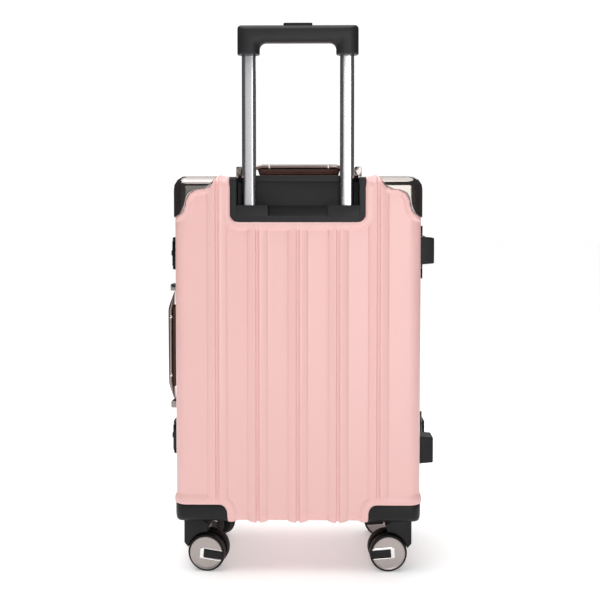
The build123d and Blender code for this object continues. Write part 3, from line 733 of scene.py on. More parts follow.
metal = [("lock_bodies", "back_half", 0.5, lock_black, "latch_metal"),
         ("lock_keepers", "lid", 0.5, lock_black, "latch_metal"),
         ("upper_latch_hasp", "upper_hasp", 0.6, lock_black, "latch_metal"),
         ("lower_latch_hasp", "lower_hasp", 0.6, lock_black, "latch_metal"),
         ("upper_latch_knob", "upper_knob", 0.5, gunmetal, "latch_metal"),
         ("lower_latch_knob", "lower_knob", 0.5, gunmetal, "latch_metal"),
         ("back_hinge_leaves", "back_half", 0.3, lock_black, "steel"),
         ("front_hinge_leaves", "lid", 0.3, lock_black, "steel"),
         ("back_rivets", "back_half", 0.5, zinc, "steel"),
         ("front_rivets", "lid", 0.5, zinc, "steel"),
         ("top_handle_brackets", "back_half", 0.9, gunmetal, "guard_chrome"),
         ("side_handle_brackets", "back_half", 0.9, gunmetal, "guard_chrome")]
for node, body, radius, material, slot in metal:
    piece = fitting(node, radius * mm, name=node + "_metal")
    piece.data.materials.append(material)
    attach(piece, body)
    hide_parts(node)


# ==== Pull tubes: bright anodised aluminium ===============================================
# Three stages of flat-oval aluminium tube, brushed along their length and anodised clear. The
# flats mirror the room as one bright band, the rounded sides go dark.

tube_low, tube_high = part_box("inner_tubes")
tube_x = 68 * mm                            # from the middle of the case to a tube's middle
tube_y = (tube_low.y + tube_high.y) / 2


def oval(half_w, half_d, radius):
    """A rectangle with quarter circles at its corners, closed."""
    turn = np.radians(np.linspace(0, 90, 9))
    quarter = np.column_stack([half_w - radius + radius * np.cos(turn),
                               half_d - radius + radius * np.sin(turn)])
    half = np.vstack([quarter, (quarter * (-1, 1))[::-1]])
    return np.vstack([half, -half])


def tube_pair(name, node, wall, corner):
    """Two open tubes: a rounded rectangle, its wall and its two sawn ends, run from the lowest
    to the highest place of the CAD tubes."""
    lo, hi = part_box(node)
    half_w = hi.x - tube_x
    half_d = (hi.y - lo.y) / 2
    outer = oval(half_w, half_d, corner)
    inner = outer * ((half_w - wall) / half_w, (half_d - wall) / half_d)
    chamfer = 0.3 * mm
    rings = [(inner, lo.z), (outer * 0.985, lo.z), (outer, lo.z + chamfer),
             (outer, hi.z - chamfer), (outer * 0.985, hi.z), (inner, hi.z)]
    loop = np.stack([np.column_stack([ring, np.full(len(ring), z)]) for ring, z in rings])
    both = [loop + (side * tube_x, tube_y, 0) for side in (-1, 1)]
    faces = grid_faces(len(rings), len(outer), True, True)
    points = np.vstack([p.reshape(-1, 3) for p in both])
    piece = surface(name, points, np.vstack([faces, faces + len(points) // 2]))
    return tidy_mesh(piece)


bright, tree, shader = new_material("bright_anodised_aluminium_tube", "#DAD9DC", 0.18, Metallic=1.0)
place = add_node(tree, "ShaderNodeTexCoord").outputs["Object"]
# brushing runs up the tube: noise 0.25 mm wide and drawn out along z
lines = add_node(tree, "ShaderNodeMapping", {"Scale": (1, 1, 0.01)}, {"Vector": place})
brush = add_node(tree, "ShaderNodeTexNoise", {"Scale": 1 / (0.25 * mm), "Detail": 2.0},
                 {"Vector": lines.outputs["Vector"]}).outputs["Fac"]
rough = add_node(tree, "ShaderNodeMapRange", {"To Min": 0.12, "To Max": 0.24}, {"Value": brush})
tree.links.new(rough.outputs["Result"], shader.inputs["Roughness"])
bump = add_node(tree, "ShaderNodeBump", {"Strength": 0.12, "Distance": 0.02 * mm},
                {"Height": brush})
tree.links.new(bump.outputs["Normal"], shader.inputs["Normal"])

for node, body, wall, corner in (("inner_tubes", "pull_handle", 1.2, 5.4),
                                 ("mid_tubes", "mid_stage", 1.0, 5.8),
                                 ("outer_tubes", "back_half", 1.2, 6.8)):
    piece = tube_pair(node + "_drawn", node, wall * mm, corner * mm)
    piece.data.materials.append(bright)
    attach(piece, body)
    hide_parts(node)


# ==== Grip: charcoal nylon ================================================================
# The grip is moulded in a rear and a front half, screwed together round the tubes, with a
# fine parting line over its crown. Its bar is full and round in the hand.

grip_low, grip_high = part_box("grip_rear_half")


def grip_halves(name):
    """Ruled between the hand gap's outline and the outer outline: at each place along them the
    section is a rounded oblong, nipped in at the parting line."""
    top, bottom = grip_high.z, grip_low.z
    outer_x = grip_high.x
    gap_x, gap_z = outer_x - 31 * mm, top - 24.5 * mm
    arc = np.radians(np.linspace(0, 90, 8))
    r_in, r_out = 9 * mm, 5 * mm
    bar_x = np.concatenate([np.linspace(outer_x - r_out, 26 * mm, 9),
                            np.array([23, 20.7, 20.4, 16, 8, 0]) * mm])
    inner = np.vstack([
        np.column_stack([np.full(8, gap_x), np.linspace(bottom, gap_z - r_in, 8)]),
        np.column_stack([gap_x - r_in + r_in * np.cos(arc), gap_z - r_in + r_in * np.sin(arc)])[1:],
        np.column_stack([bar_x * (gap_x - r_in) / (outer_x - r_out),
                         np.full(len(bar_x), gap_z)])[1:]])
    outer = np.vstack([
        np.column_stack([np.full(8, outer_x), np.linspace(bottom, top - r_out, 8)]),
        np.column_stack([outer_x - r_out + r_out * np.cos(arc),
                         top - r_out + r_out * np.sin(arc)])[1:],
        np.column_stack([bar_x, np.full(len(bar_x), top)])[1:]])
    half = np.stack([inner, outer], 1)
    path = np.vstack([half, half[-2::-1] * (-1, 1)])
    middle, reach = path.mean(1), (path[:, 1] - path[:, 0]) / 2
    deep = grip_high.y - grip_low.y
    seam_y = grip_high.y
    turn = np.radians(np.concatenate([np.linspace(-178, -2, 23), np.linspace(2, 178, 23)]))
    power = 2 / 2.6
    lip_at = np.degrees(np.arcsin((7.1 * mm / deep) ** (1 / power)))
    turn = np.sort(np.concatenate([turn, np.radians(
        [-179.9, 0, 179.9, lip_at, lip_at + 0.8, -lip_at, -lip_at - 0.8])]))
    a = np.sign(np.cos(turn)) * np.abs(np.cos(turn)) ** power
    b = np.sign(np.sin(turn)) * np.abs(np.sin(turn)) ** power
    nip = 1 - 0.022 * (np.abs(np.sin(turn)) < 0.02)
    points = np.empty((len(path), len(turn), 3))
    points[..., 0] = middle[:, :1] + reach[:, :1] * a * nip
    points[..., 2] = middle[:, 1:] + reach[:, 1:] * a * nip
    points[..., 1] = seam_y + deep * b * 0.995
    socket = (np.abs(points[..., 0]) < 20.5 * mm) & (np.abs(points[..., 1] - seam_y) < 7.2 * mm) & (
        points[..., 2] > top - 4 * mm)
    points[..., 2] -= 8 * mm * socket
    ends = []
    for k, drop in ((0.86, 0), (0.96, 0.35 * mm), (1.0, 1.2 * mm)):
        centre = points[0].mean(0)
        ring = centre + (points[0] - centre) * (k, k, 1)
        ring[:, 2] = bottom + drop
        ends.append(ring)
    closing = np.broadcast_to(ends[0].mean(0), ends[0].shape)
    start = np.stack([closing] + ends)
    points = np.concatenate([start, points[1:-1], start[::-1] * (-1, 1, 1)])
    return tidy_mesh(surface(name, points, grid_faces(points.shape[0], points.shape[1], False, True)))


grip_nylon = black_plastic("spark_grained_nylon_grip", "#232325", 0.43, 0.8 * mm, 0.08 * mm)
piece = grip_halves("pull_grip")
piece.data.materials.append(grip_nylon)
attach(piece, "pull_handle")
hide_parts("grip_rear_half", "grip_front_half")
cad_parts["pull_rods"].data.materials.clear()
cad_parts["pull_rods"].data.materials.append(zinc)


# ==== Wheels: polyurethane tyres with metal discs =========================================
# Each twin wheel is a nylon core with a soft black tyre. Its outer face carries a satin
# metal disc, pressed with a bright rolled rim and a slot for a black nylon bar that runs
# from near the hub to the tyre.


def turned(profile):
    """A profile of radius and place along the axle (-y), turned round the axle."""
    count = 72
    angle = np.linspace(0, 2 * np.pi, count, endpoint=False)
    profile = np.array(profile)
    points = np.empty((count, len(profile), 3))
    points[..., 0] = np.cos(angle)[:, None] * profile[:, 0]
    points[..., 2] = np.sin(angle)[:, None] * profile[:, 0]
    points[..., 1] = -profile[:, 1]
    return points


wheel_r = 26.3                              # these sizes are in mm, about the axle
wheel_in, wheel_out = 6.0, 19.0
caster_x, caster_y = 148.0, 73.0            # the swivels' places on the case
trail = 22.0                                # from a swivel's axis to its axle
tyre_profile = rounded_loop([(3.1, wheel_in + 0.1), (9, wheel_in + 0.1), (10, wheel_in + 1.4),
                             (22.5, wheel_in + 1.4), (23.2, wheel_in + 0.2), (24.6, wheel_in),
                             (wheel_r, wheel_in + 3.2), (wheel_r, wheel_in + 5.6),
                             (wheel_r - 0.5, wheel_in + 6.1), (wheel_r - 0.5, wheel_in + 6.9),
                             (wheel_r, wheel_in + 7.4), (wheel_r, wheel_out - 2.6),
                             (25.5, wheel_out - 0.9), (23.6, wheel_out - 0.5),
                             (23.2, wheel_out - 1.6), (3.1, wheel_out - 1.7)], 0.8, 4)
disc_profile = [(0.0, wheel_out - 1.6), (23.1, wheel_out - 1.5), (23.1, wheel_out - 0.3),
                (22.8, wheel_out + 0.05), (22.3, wheel_out + 0.1), (21.6, wheel_out - 0.1),
                (20.9, wheel_out - 0.4), (20.4, wheel_out - 0.45), (15, wheel_out - 0.32),
                (8, wheel_out - 0.25), (3, wheel_out - 0.22), (0.0, wheel_out - 0.22)]


def oblong(x0, x1, z0, z1, y0, y1, radius):
    """A block along -y with rounded sides and a crowned edge at its outer face."""
    loop = rounded_loop([(x0, z0), (x1, z0), (x1, z1), (x0, z1)], radius, 5)
    centre = np.array([(x0 + x1) / 2, (z0 + z1) / 2])
    rings = []
    for inset, y in ((0.999, y0), (0, y0), (0, y1 - 0.35), (0.1, y1 - 0.1), (0.35, y1), (0.999, y1)):
        rings.append((centre + (loop - centre) * (1 - inset) if inset > 0.9 else
                      loop - np.sign(loop - centre) * inset, y))
    return np.stack([np.column_stack([ring[:, 0], np.full(len(ring), -y), ring[:, 1]])
                     for ring, y in rings])


def slot_rim():
    """A bright bevelled frame along three sides of the bar: wide at the hub end, narrow along
    its sides. A low wedge section is carried along a U, its width eased between the two."""
    inside = np.vstack([np.column_stack([np.linspace(22.4, -2.4, 14), np.full(14, -6.0)]),
                        np.column_stack([np.full(8, -3.3), np.linspace(-5.2, 5.2, 8)]),
                        np.column_stack([np.linspace(-2.4, 22.4, 14), np.full(14, 6.0)])])
    outside = np.vstack([np.column_stack([np.linspace(22.0, -7.6, 14), np.full(14, -8.6)]),
                         np.column_stack([np.full(8, -8.8), np.linspace(-7.8, 6.6, 8)]),
                         np.column_stack([np.linspace(-7.6, 22.4, 14), np.full(14, 7.2)])])
    section = [(0, wheel_out - 1.2), (0, wheel_out - 0.1), (0.06, wheel_out + 0.15),
               (0.9, wheel_out - 0.2), (1, wheel_out - 0.5), (1, wheel_out - 1.2)]
    share = np.array([a for a, _ in section])[None, :, None]
    flat = inside[:, None] * (1 - share) + outside[:, None] * share
    high = np.broadcast_to(np.array([y for _, y in section]), flat.shape[:2])
    rings = np.stack([flat[..., 0], -high, flat[..., 1]], -1)
    return capped(rings)


def placed(points, swivel, trail_way, turn, flip, roll):
    """Moves a wheel's points from the axle frame onto its caster."""
    if flip:
        points = points * (-1, -1, 1)
    c, s = np.cos(roll), np.sin(roll)
    x, z = points[..., 0] * c - points[..., 2] * s, points[..., 0] * s + points[..., 2] * c
    points = np.stack([x, points[..., 1], z], -1)
    c, s = np.cos(turn), np.sin(turn)
    centre = np.array([*(swivel + trail * trail_way), wheel_r])
    x = points[..., 0] * c - points[..., 1] * s
    y = points[..., 0] * s + points[..., 1] * c
    return (np.stack([x, y, points[..., 2]], -1) + centre) * mm


tyre, tree, shader = new_material("polyurethane_tyre_black", "#0E0D0D", 0.5,
                                  Specular_IOR_Level=0.3)
place = add_node(tree, "ShaderNodeTexCoord").outputs["Object"]
# rolled on floors: scuffs about 5.5 mm across, greyer and rougher than the moulded skin
scuff = add_node(tree, "ShaderNodeTexNoise", {"Scale": 180.0, "Detail": 5.0}, {"Vector": place})
rough = add_node(tree, "ShaderNodeMapRange", {"To Min": 0.36, "To Max": 0.66},
                 {"Value": scuff.outputs["Fac"]})
tree.links.new(rough.outputs["Result"], shader.inputs["Roughness"])
shade = add_node(tree, "ShaderNodeMix", {"data_type": "RGBA", 6: linear("#0A0909"), 7: linear("#161413")},
                 {0: scuff.outputs["Fac"]})
tree.links.new(shade.outputs[2], shader.inputs["Base Color"])
bump = add_node(tree, "ShaderNodeBump", {"Strength": 0.25, "Distance": 0.1 * mm},
                {"Height": scuff.outputs["Fac"]})
tree.links.new(bump.outputs["Normal"], shader.inputs["Normal"])

satin, tree, shader = new_material("satin_nickel_disc", "#A8A09D", 0.3, Metallic=1.0)
place = add_node(tree, "ShaderNodeTexCoord").outputs["Object"]
# bead-blasted and plated: a frost about 1 mm across spreads its reflections wide
frost = add_node(tree, "ShaderNodeTexNoise", {"Scale": 900.0, "Detail": 3.0}, {"Vector": place})
rough = add_node(tree, "ShaderNodeMapRange", {"To Min": 0.26, "To Max": 0.4},
                 {"Value": frost.outputs["Fac"]})
tree.links.new(rough.outputs["Result"], shader.inputs["Roughness"])
bump = add_node(tree, "ShaderNodeBump", {"Strength": 0.15, "Distance": 0.02 * mm},
                {"Height": frost.outputs["Fac"]})
tree.links.new(bump.outputs["Normal"], shader.inputs["Normal"])

rim_metal, tree, shader = new_material("polished_nickel_bevel", "#E6E3E1", 0.14, Metallic=1.0)
place = add_node(tree, "ShaderNodeTexCoord").outputs["Object"]
# buffed bright after plating, with swirls 2 mm across that break its highlights
swirl = add_node(tree, "ShaderNodeTexNoise", {"Scale": 500.0, "Detail": 3.0}, {"Vector": place})
rough = add_node(tree, "ShaderNodeMapRange", {"To Min": 0.1, "To Max": 0.22},
                 {"Value": swirl.outputs["Fac"]})
tree.links.new(rough.outputs["Result"], shader.inputs["Roughness"])

yaw = {"back_left": -8.0, "back_right": 3.0, "front_left": -40.0, "front_right": 2.0}
for caster, degrees in yaw.items():
    y_sign = -1 if caster.startswith("back") else 1
    x_sign = -1 if caster.endswith("left") else 1
    turn = np.radians(degrees)
    way = np.array([np.cos(turn), np.sin(turn)]) * -x_sign
    for place_name, flip in (("rear", False), ("front", True)):
        roll = np.radians(-6 if x_sign < 0 else 184)
        if flip:
            roll += np.radians(200)
        seat = (np.array([x_sign * caster_x, y_sign * caster_y]), way, turn, flip, roll)
        parts, materials, start = [], [], 0
        for points, wraps, index in (
                (turned(tyre_profile), (True, True), 0), (turned(disc_profile), (True, False), 1),
                (oblong(-3.2, 23.4, -5.9, 5.9, wheel_out - 1.5, wheel_out + 0.3, 0.9), (False, True), 2),
                (slot_rim(), (False, True), 3)):
            faces = grid_faces(points.shape[0], points.shape[1], *wraps) + start
            parts.append((placed(points, *seat).reshape(-1, 3), faces))
            materials += [index] * len(faces)
            start += points.shape[0] * points.shape[1]
        node = f"{caster}_{place_name}_wheel"
        piece = surface(node + "_twin", np.vstack([p for p, _ in parts]),
                        np.vstack([f for _, f in parts]))
        for material in (tyre, satin, nylon, rim_metal):
            piece.data.materials.append(material)
        piece.data.polygons.foreach_set("material_index", materials)
        tidy_mesh(piece, weld=0.000005)
        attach(piece, node)
        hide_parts(node)


# ==== Carry handles: chromed bar and leather pad ==========================================
# Each handle is a pressed steel bar, plated like the guards, with a leather pad let into its
# underside. The bar thins to flat tongues that ride in the brackets; a dome-headed rivet
# holds the pad at each end.


def handle_bar():
    """A rounded oblong section carried along the bar. Its height follows the flat, the two
    shoulders and the tongues; its thickness and width shrink towards the ends."""
    end, flat = 88.3, 52.0
    u = np.concatenate([steps(-end, -flat - 2, 1.6), steps(-flat, flat, 6.0),
                        steps(flat + 2, end, 1.6)])
    off = np.abs(u)
    shoulder = np.clip((81 - off) / (81 - flat), 0, 1)
    shoulder = np.where(shoulder > 0.9, 1 - (1 - np.minimum(shoulder, 1)) * 0.6, shoulder + 0.04)
    tongue = 5.5 + 0.8
    rise = tongue + (18.4 - 3.75 - tongue) * (0.28 + 0.72 * shoulder) * (1 - ease(79, 81.4, off))
    thick = 0.78 + (3.7 - 0.78) * (1 - ease(flat + 4, end - 9, off))
    wide = 5.9 + (10.9 - 5.9) * (1 - ease(end - 14, end - 9.5, off))
    turn = np.radians(np.linspace(0, 360, 40, endpoint=False))
    a = np.sign(np.cos(turn)) * np.abs(np.cos(turn)) ** (2 / 3.4)
    b = np.sign(np.sin(turn)) * np.abs(np.sin(turn)) ** (2 / 2.6)
    points = np.empty((len(u), len(turn), 3))
    points[..., 0] = u[:, None]
    points[..., 1] = wide[:, None] * a
    points[..., 2] = rise[:, None] + thick[:, None] * b
    return capped(points)


def leather_pad():
    """A padded tongue under the bar: full in the middle, thinned at its sewn edges, with a row
    of stitches pulled in 2 mm from each side."""
    u = steps(-60, 60, 0.75)
    v = np.linspace(-1, 1, 41)
    uu, vv = np.meshgrid(u, v, indexing="ij")
    half = 9.9 * (1 - 0.5 * ease(54, 60.1, np.abs(uu)) ** 2)
    crown = (1 - np.abs(vv) ** 3.2) ** 0.5 * (1 - ease(56, 60.1, np.abs(uu)) ** 2) ** 0.5
    sewn = np.exp(-((np.abs(vv) - 0.8) / 0.05) ** 2) * (0.55 + 0.3 * np.cos(uu * 2 * np.pi / 2.8))
    low_z = 10.6 - 9.2 * crown + 0.45 * sewn * (crown > 0.2)
    under = np.stack([uu, half * vv, low_z], -1)
    drop = 3.0 * ease(56, 60.1, np.abs(uu))
    low_z = low_z - drop
    above = np.stack([uu, half * vv, 10.75 - drop], -1)
    return under, above


def pad_rivets():
    """Two polished domes through the bar's near face, a quarter circle turned to a cap."""
    rise = np.radians(np.linspace(0, 90, 6))
    spin = np.linspace(0, 2 * np.pi, 16, endpoint=False)
    cap = np.empty((6, 16, 3))
    cap[..., 0] = 2.3 * np.cos(rise)[:, None] * np.cos(spin)
    cap[..., 2] = 2.3 * np.cos(rise)[:, None] * np.sin(spin)
    cap[..., 1] = -1.5 * np.sin(rise)[:, None]
    caps = np.array([(-43, -10.6, 13.6), (43, -10.6, 13.6)])[:, None, None, :] + cap
    faces = grid_faces(6, 16, False, True)
    return caps.reshape(-1, 3), np.vstack([faces, faces + 96])


def stitches():
    """Waxed thread standing out of the pad: one short rounded bead for each stitch."""
    angle = np.linspace(0, 2 * np.pi, 6, endpoint=False)
    along_bead = np.array([-1.0, -0.75, 0, 0.75, 1.0])
    fat = np.array([0.05, 0.75, 1, 0.75, 0.05]) * 0.32
    bead = np.empty((5, 6, 3))
    bead[..., 0] = along_bead[:, None] * 0.95
    bead[..., 1] = fat[:, None] * np.cos(angle)
    bead[..., 2] = fat[:, None] * np.sin(angle)
    places = np.arange(-46.2, 46.3, 2.8)
    spots = np.array([(x, side * 7.9, 4.3) for side in (-1, 1) for x in places])
    points = spots[:, None, None, :] + bead
    faces = grid_faces(5, 6, False, True)
    shift = np.arange(len(spots))[:, None, None] * 30
    return points.reshape(-1, 3), (faces[None] + shift).reshape(-1, 4)


leather, tree, shader = new_material("vegetable_tanned_leather_brown", "#4A2B21", 0.5)
place = add_node(tree, "ShaderNodeTexCoord").outputs["Object"]
# pores and creases 1.1 mm across, and burnished darker patches where a hand has held it
grain = add_node(tree, "ShaderNodeTexVoronoi", {"Scale": 1 / (1.1 * mm)}, {"Vector": place})
tone = add_node(tree, "ShaderNodeTexNoise", {"Scale": 40.0, "Detail": 4.0}, {"Vector": place})
shade = add_node(tree, "ShaderNodeMix", {"data_type": "RGBA", 6: linear("#2E1A14"), 7: linear("#4A2C22")},
                 {0: tone.outputs["Fac"]})
tree.links.new(shade.outputs[2], shader.inputs["Base Color"])
rough = add_node(tree, "ShaderNodeMapRange", {"To Min": 0.4, "To Max": 0.62},
                 {"Value": tone.outputs["Fac"]})
tree.links.new(rough.outputs["Result"], shader.inputs["Roughness"])
bump = add_node(tree, "ShaderNodeBump", {"Strength": 0.4, "Distance": 0.15 * mm},
                {"Height": grain.outputs["Distance"]})
tree.links.new(bump.outputs["Normal"], shader.inputs["Normal"])

thread, tree, shader = new_material("waxed_linen_thread_tan", "#8A6248", 0.6)
place = add_node(tree, "ShaderNodeTexCoord").outputs["Object"]
# twisted strands show as ribs about 0.25 mm apart, dull with wax
twist = add_node(tree, "ShaderNodeTexWave", {"Scale": 1 / (0.8 * mm)}, {"Vector": place})
bump = add_node(tree, "ShaderNodeBump", {"Strength": 0.4, "Distance": 0.1 * mm},
                {"Height": twist.outputs["Color"]})
tree.links.new(bump.outputs["Normal"], shader.inputs["Normal"])

handle_y = -9.0                             # in mm, as are the next two
frame_top = shell_high / mm + 4.0
frame_side = -half_x / mm - 4.0


def seated(points, name):
    """Moves points from a handle's own frame (along, across, height) onto the case's frame."""
    lo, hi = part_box(name + "_handle_bar")
    centre = (lo + hi) / 2 / mm
    if name == "top":
        return (points + (centre.x, handle_y, frame_top)) * mm
    x = frame_side - points[..., 2]
    return np.stack([x, points[..., 1] + handle_y, points[..., 0] + centre.z], -1) * mm


def pad_shape():
    """The pad's under and upper grids with a wall round their shared border."""
    under, above = leather_pad()
    rows, columns = under.shape[:2]
    count = rows * columns
    border = np.concatenate([np.arange(columns), np.arange(1, rows) * columns + columns - 1,
                             count - 2 - np.arange(columns - 1),
                             np.arange(rows - 2, 0, -1) * columns])
    walls = np.stack([border, np.roll(border, -1), np.roll(border, -1) + count, border + count], -1)
    faces = grid_faces(rows, columns)
    return (np.vstack([under.reshape(-1, 3), above.reshape(-1, 3)]),
            np.vstack([faces, faces[:, ::-1] + count, walls]))


for name, body in (("top", "top_handle"), ("side", "side_handle")):
    points = seated(handle_bar(), name)
    piece = tidy_mesh(surface(name + "_handle_plated_bar", points,
                              grid_faces(points.shape[0], points.shape[1], False, True)))
    piece.data.materials.append(gunmetal)
    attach(piece, body)
    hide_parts(name + "_handle_bar")

    points, faces = pad_shape()
    pad = tidy_mesh(surface(name + "_handle_pad", seated(points, name), faces))
    pad.data.materials.append(leather)
    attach(pad, body)
    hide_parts(name + "_handle_leather")
    points, faces = stitches()
    sewing = tidy_mesh(surface(name + "_handle_stitching", seated(points, name), faces))
    sewing.data.materials.append(thread)
    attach(sewing, body)
    points, faces = pad_rivets()
    domes = tidy_mesh(surface(name + "_handle_rivets", seated(points, name), faces))
    domes.data.materials.append(rim_metal)
    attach(domes, body)


# ==== Lining: quilted polyester ===========================================================
# Each half is lined with a woven polyester tray, glued to the shell, with a quilted pad sewn
# over its floor. The lid has a zipped pocket of the same cloth, edged with piping.


def woven(name, dark, light, spacing, roughness):
    """Plain-woven cloth: two crossed sets of threads, raised in turn, and a soft sheen.
    Threads are drawn three times as coarse as real ones, so that they show."""
    material, tree, shader = new_material(name, light, roughness, Sheen_Weight=0.35,
                                          Sheen_Roughness=0.4)
    place = add_node(tree, "ShaderNodeTexCoord").outputs["Object"]
    warp = add_node(tree, "ShaderNodeTexWave", {"bands_direction": "X", "Scale": 1 / (6 * spacing),
                                                "Distortion": 0.3}, {"Vector": place})
    weft = add_node(tree, "ShaderNodeTexWave", {"bands_direction": "Z", "Scale": 1 / (6 * spacing),
                                                "Distortion": 0.3}, {"Vector": place})
    over = add_node(tree, "ShaderNodeMath", {"operation": "MULTIPLY"},
                    {0: warp.outputs["Fac"], 1: weft.outputs["Fac"]}).outputs["Value"]
    fade = add_node(tree, "ShaderNodeTexNoise", {"Scale": 5.0, "Detail": 2.0},
                    {"Vector": place}).outputs["Fac"]
    tone = add_node(tree, "ShaderNodeMath", {"operation": "MULTIPLY_ADD", 1: 0.5},
                    {0: over, 2: fade}).outputs["Value"]
    shade = add_node(tree, "ShaderNodeMix", {"data_type": "RGBA", 6: linear(dark), 7: linear(light)},
                     {0: tone})
    tree.links.new(shade.outputs[2], shader.inputs["Base Color"])
    bump = add_node(tree, "ShaderNodeBump", {"Strength": 0.5, "Distance": 0.3 * mm},
                    {"Height": over})
    tree.links.new(bump.outputs["Normal"], shader.inputs["Normal"])
    return material


polyester = woven("woven_polyester_lining", "#8E8076", "#BDB1A6", 0.9 * mm, 0.8)
piping = woven("bias_bound_piping", "#5A4C46", "#6E5F57", 0.8 * mm, 0.75)
webbing = woven("nylon_strap_webbing", "#2A2526", "#3D3738", 1.1 * mm, 0.7)

for node, body in (("back_lining", "back_half"), ("front_lining", "lid")):
    piece = fitting(node, 2.5 * mm, name=node + "_cloth", angle=50)
    piece.data.materials.append(polyester)
    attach(piece, body)
    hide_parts(node)


def rounded_patch(x_half, z0, z1, radius, spacing):
    """A grid over a rectangle, its corners drawn in onto arcs; also the distance inside."""
    z_half, middle = (z1 - z0) / 2, (z0 + z1) / 2
    x = np.linspace(-x_half, x_half, int(2 * x_half / spacing) + 1)
    z = np.linspace(-z_half, z_half, int(2 * z_half / spacing) + 1)
    gx, gz = np.meshgrid(x, z)
    dx, dz = np.abs(gx) - (x_half - radius), np.abs(gz) - (z_half - radius)
    length = np.hypot(np.maximum(dx, 0), np.maximum(dz, 0))
    pull = np.where((dx > 0) & (dz > 0) & (length > radius), radius / np.maximum(length, 1e-9), 1)
    gx = np.where(pull < 1, np.sign(gx) * (x_half - radius + dx * pull), gx)
    gz = np.where(pull < 1, np.sign(gz) * (z_half - radius + dz * pull), gz)
    inside = -box_gap(gx, gz, -x_half, x_half, -z_half, z_half, radius)
    return gx, gz + middle, np.maximum(inside, 0)


def pad(name, x_half, z0, z1, y_base, facing, thick, pitch):
    """A flat-backed pad: its face swells from the border on a quarter circle and is drawn in
    along two crossed sets of stitch lines, one pitch apart."""
    gx, gz, inside = rounded_patch(x_half, z0, z1, 14 * mm, 2.6 * mm)
    swell = np.sqrt(np.clip(1 - (1 - np.clip(inside / (7 * mm), 0, 1)) ** 2, 0, 1))
    if pitch:
        a = np.abs(np.sin(np.pi * (gx + gz) / pitch))
        b = np.abs(np.sin(np.pi * (gx - gz) / pitch))
        swell = swell * (0.12 + 0.88 * np.sqrt(np.minimum(a, b)))
    face = np.stack([gx, y_base + facing * thick * swell, gz], -1)
    back = np.stack([gx, np.full_like(gx, y_base), gz], -1)
    faces = grid_faces(*gx.shape)
    piece = surface(name, np.vstack([face.reshape(-1, 3), back.reshape(-1, 3)]),
                    np.vstack([faces, faces[:, ::-1] + gx.size]))
    return tidy_mesh(piece, weld=0.00001)


back_floor, lid_floor = -60.5 * mm, 99.0 * mm
pocket_lo, pocket_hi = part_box("lid_pocket")
for name, body, size_of, base, facing, thick, pitch in (
        ("back_floor_quilt", "back_half", (0.150, 0.112, 0.538), back_floor, 1, 4.6 * mm, 46 * mm),
        ("lid_floor_quilt", "lid", (0.150, 0.372, 0.538), lid_floor, -1, 4.6 * mm, 46 * mm),
        ("lid_zip_pocket", "lid", (pocket_hi.x, pocket_lo.z, pocket_hi.z), lid_floor - 0.2 * mm, -1,
         4.3 * mm, 0)):
    piece = pad(name, *size_of, base, facing, thick, pitch)
    piece.data.materials.append(polyester)
    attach(piece, body)
    if name == "lid_zip_pocket":
        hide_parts("lid_pocket")

# piping: a bound cord round the pocket's border; the zip: a coil tape with a metal slider
corners = rounded_loop([(pocket_lo.x + 3 * mm, pocket_lo.z + 3 * mm),
                        (pocket_hi.x - 3 * mm, pocket_lo.z + 3 * mm),
                        (pocket_hi.x - 3 * mm, pocket_hi.z - 3 * mm),
                        (pocket_lo.x + 3 * mm, pocket_hi.z - 3 * mm)], 12 * mm, 9)
turn = np.radians(np.linspace(0, 360, 10, endpoint=False))
tangent = np.roll(corners, -1, 0) - np.roll(corners, 1, 0)
tangent /= np.linalg.norm(tangent, axis=1, keepdims=True)
rings = np.empty((len(corners), 10, 3))
rings[..., 0] = corners[:, :1] - tangent[:, 1:] * 1.4 * mm * np.cos(turn)
rings[..., 2] = corners[:, 1:] + tangent[:, :1] * 1.4 * mm * np.cos(turn)
rings[..., 1] = lid_floor - 3.4 * mm + 1.4 * mm * np.sin(turn)
piece = tidy_mesh(surface("lid_pocket_piping", rings, grid_faces(len(corners), 10, True, True)))
piece.data.materials.append(piping)
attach(piece, "lid")

zip_z = pocket_hi.z - 22 * mm


def slab_along_x(x0, x1, z, half_z, y0, y1, radius, count):
    """A bar along x with a rounded section, closed at both ends."""
    loop = rounded_loop([(y0, z - half_z), (y1, z - half_z), (y1, z + half_z), (y0, z + half_z)],
                        radius, 5)
    x = np.linspace(x0, x1, count)
    rings = np.empty((count, len(loop), 3))
    rings[..., 0] = x[:, None]
    rings[..., 1:] = loop
    return capped(rings)


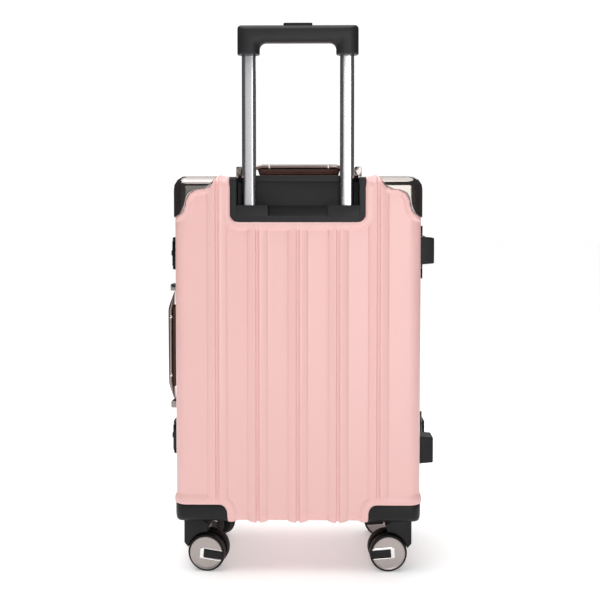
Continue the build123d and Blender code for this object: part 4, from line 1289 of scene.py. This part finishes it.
def bars(name, shapes):
    """One mesh from several closed bars."""
    sizes = np.cumsum([0] + [shape[..., 0].size for shape in shapes])
    faces = np.vstack([grid_faces(*shape.shape[:2], False, True) + start
                       for shape, start in zip(shapes, sizes)])
    return tidy_mesh(surface(name, np.vstack([shape.reshape(-1, 3) for shape in shapes]), faces))


zip_parts = [slab_along_x(-0.118, 0.118, zip_z, 6 * mm, lid_floor - 5.0 * mm, lid_floor - 4.2 * mm,
                          0.3 * mm, 30),
             slab_along_x(-0.117, 0.117, zip_z, 1.6 * mm, lid_floor - 5.9 * mm, lid_floor - 4.9 * mm,
                          0.4 * mm, 160)]
coil = zip_parts[1]
coil[..., 2] = zip_z + (coil[..., 2] - zip_z) * (1 - 0.25 * (np.arange(len(coil)) % 2))[:, None]
slider = slab_along_x(0.098, 0.109, zip_z, 4.2 * mm, lid_floor - 7.6 * mm, lid_floor - 5.2 * mm,
                      1 * mm, 4)
puller = slab_along_x(0.074, 0.100, zip_z, 3.0 * mm, lid_floor - 8.2 * mm, lid_floor - 7.0 * mm,
                      0.5 * mm, 4)
for name, shapes, material in (("lid_pocket_zip_tape", zip_parts, piping),
                               ("lid_pocket_zip_slider", [slider, puller], gunmetal)):
    piece = bars(name, shapes)
    piece.data.materials.append(material)
    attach(piece, "lid")


# ==== Packing straps: nylon webbing =======================================================
# Two limbs of webbing come from each side of the tray to a moulded clip in the middle. Each
# is one flat-woven band with rolled selvedges, slack by a few tenths of a millimetre.

strap_lo, strap_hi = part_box("packing_straps")
limbs = []
for x_side in (-1, 1):
    for z in (strap_lo.z + 12.5 * mm, strap_hi.z - 12.5 * mm):
        limb = slab_along_x(x_side * strap_hi.x, x_side * 23.4 * mm, z, 12.5 * mm, strap_lo.y,
                            strap_hi.y, 0.6 * mm, 60)
        share = np.abs(limb[..., 0]) / strap_hi.x
        limb[..., 1] += 0.35 * mm * np.sin(share * 14) * (1 - share)
        limbs.append(limb)
piece = bars("packing_straps_webbing", limbs)
piece.data.materials.append(webbing)
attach(piece, "back_half")
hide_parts("packing_straps")
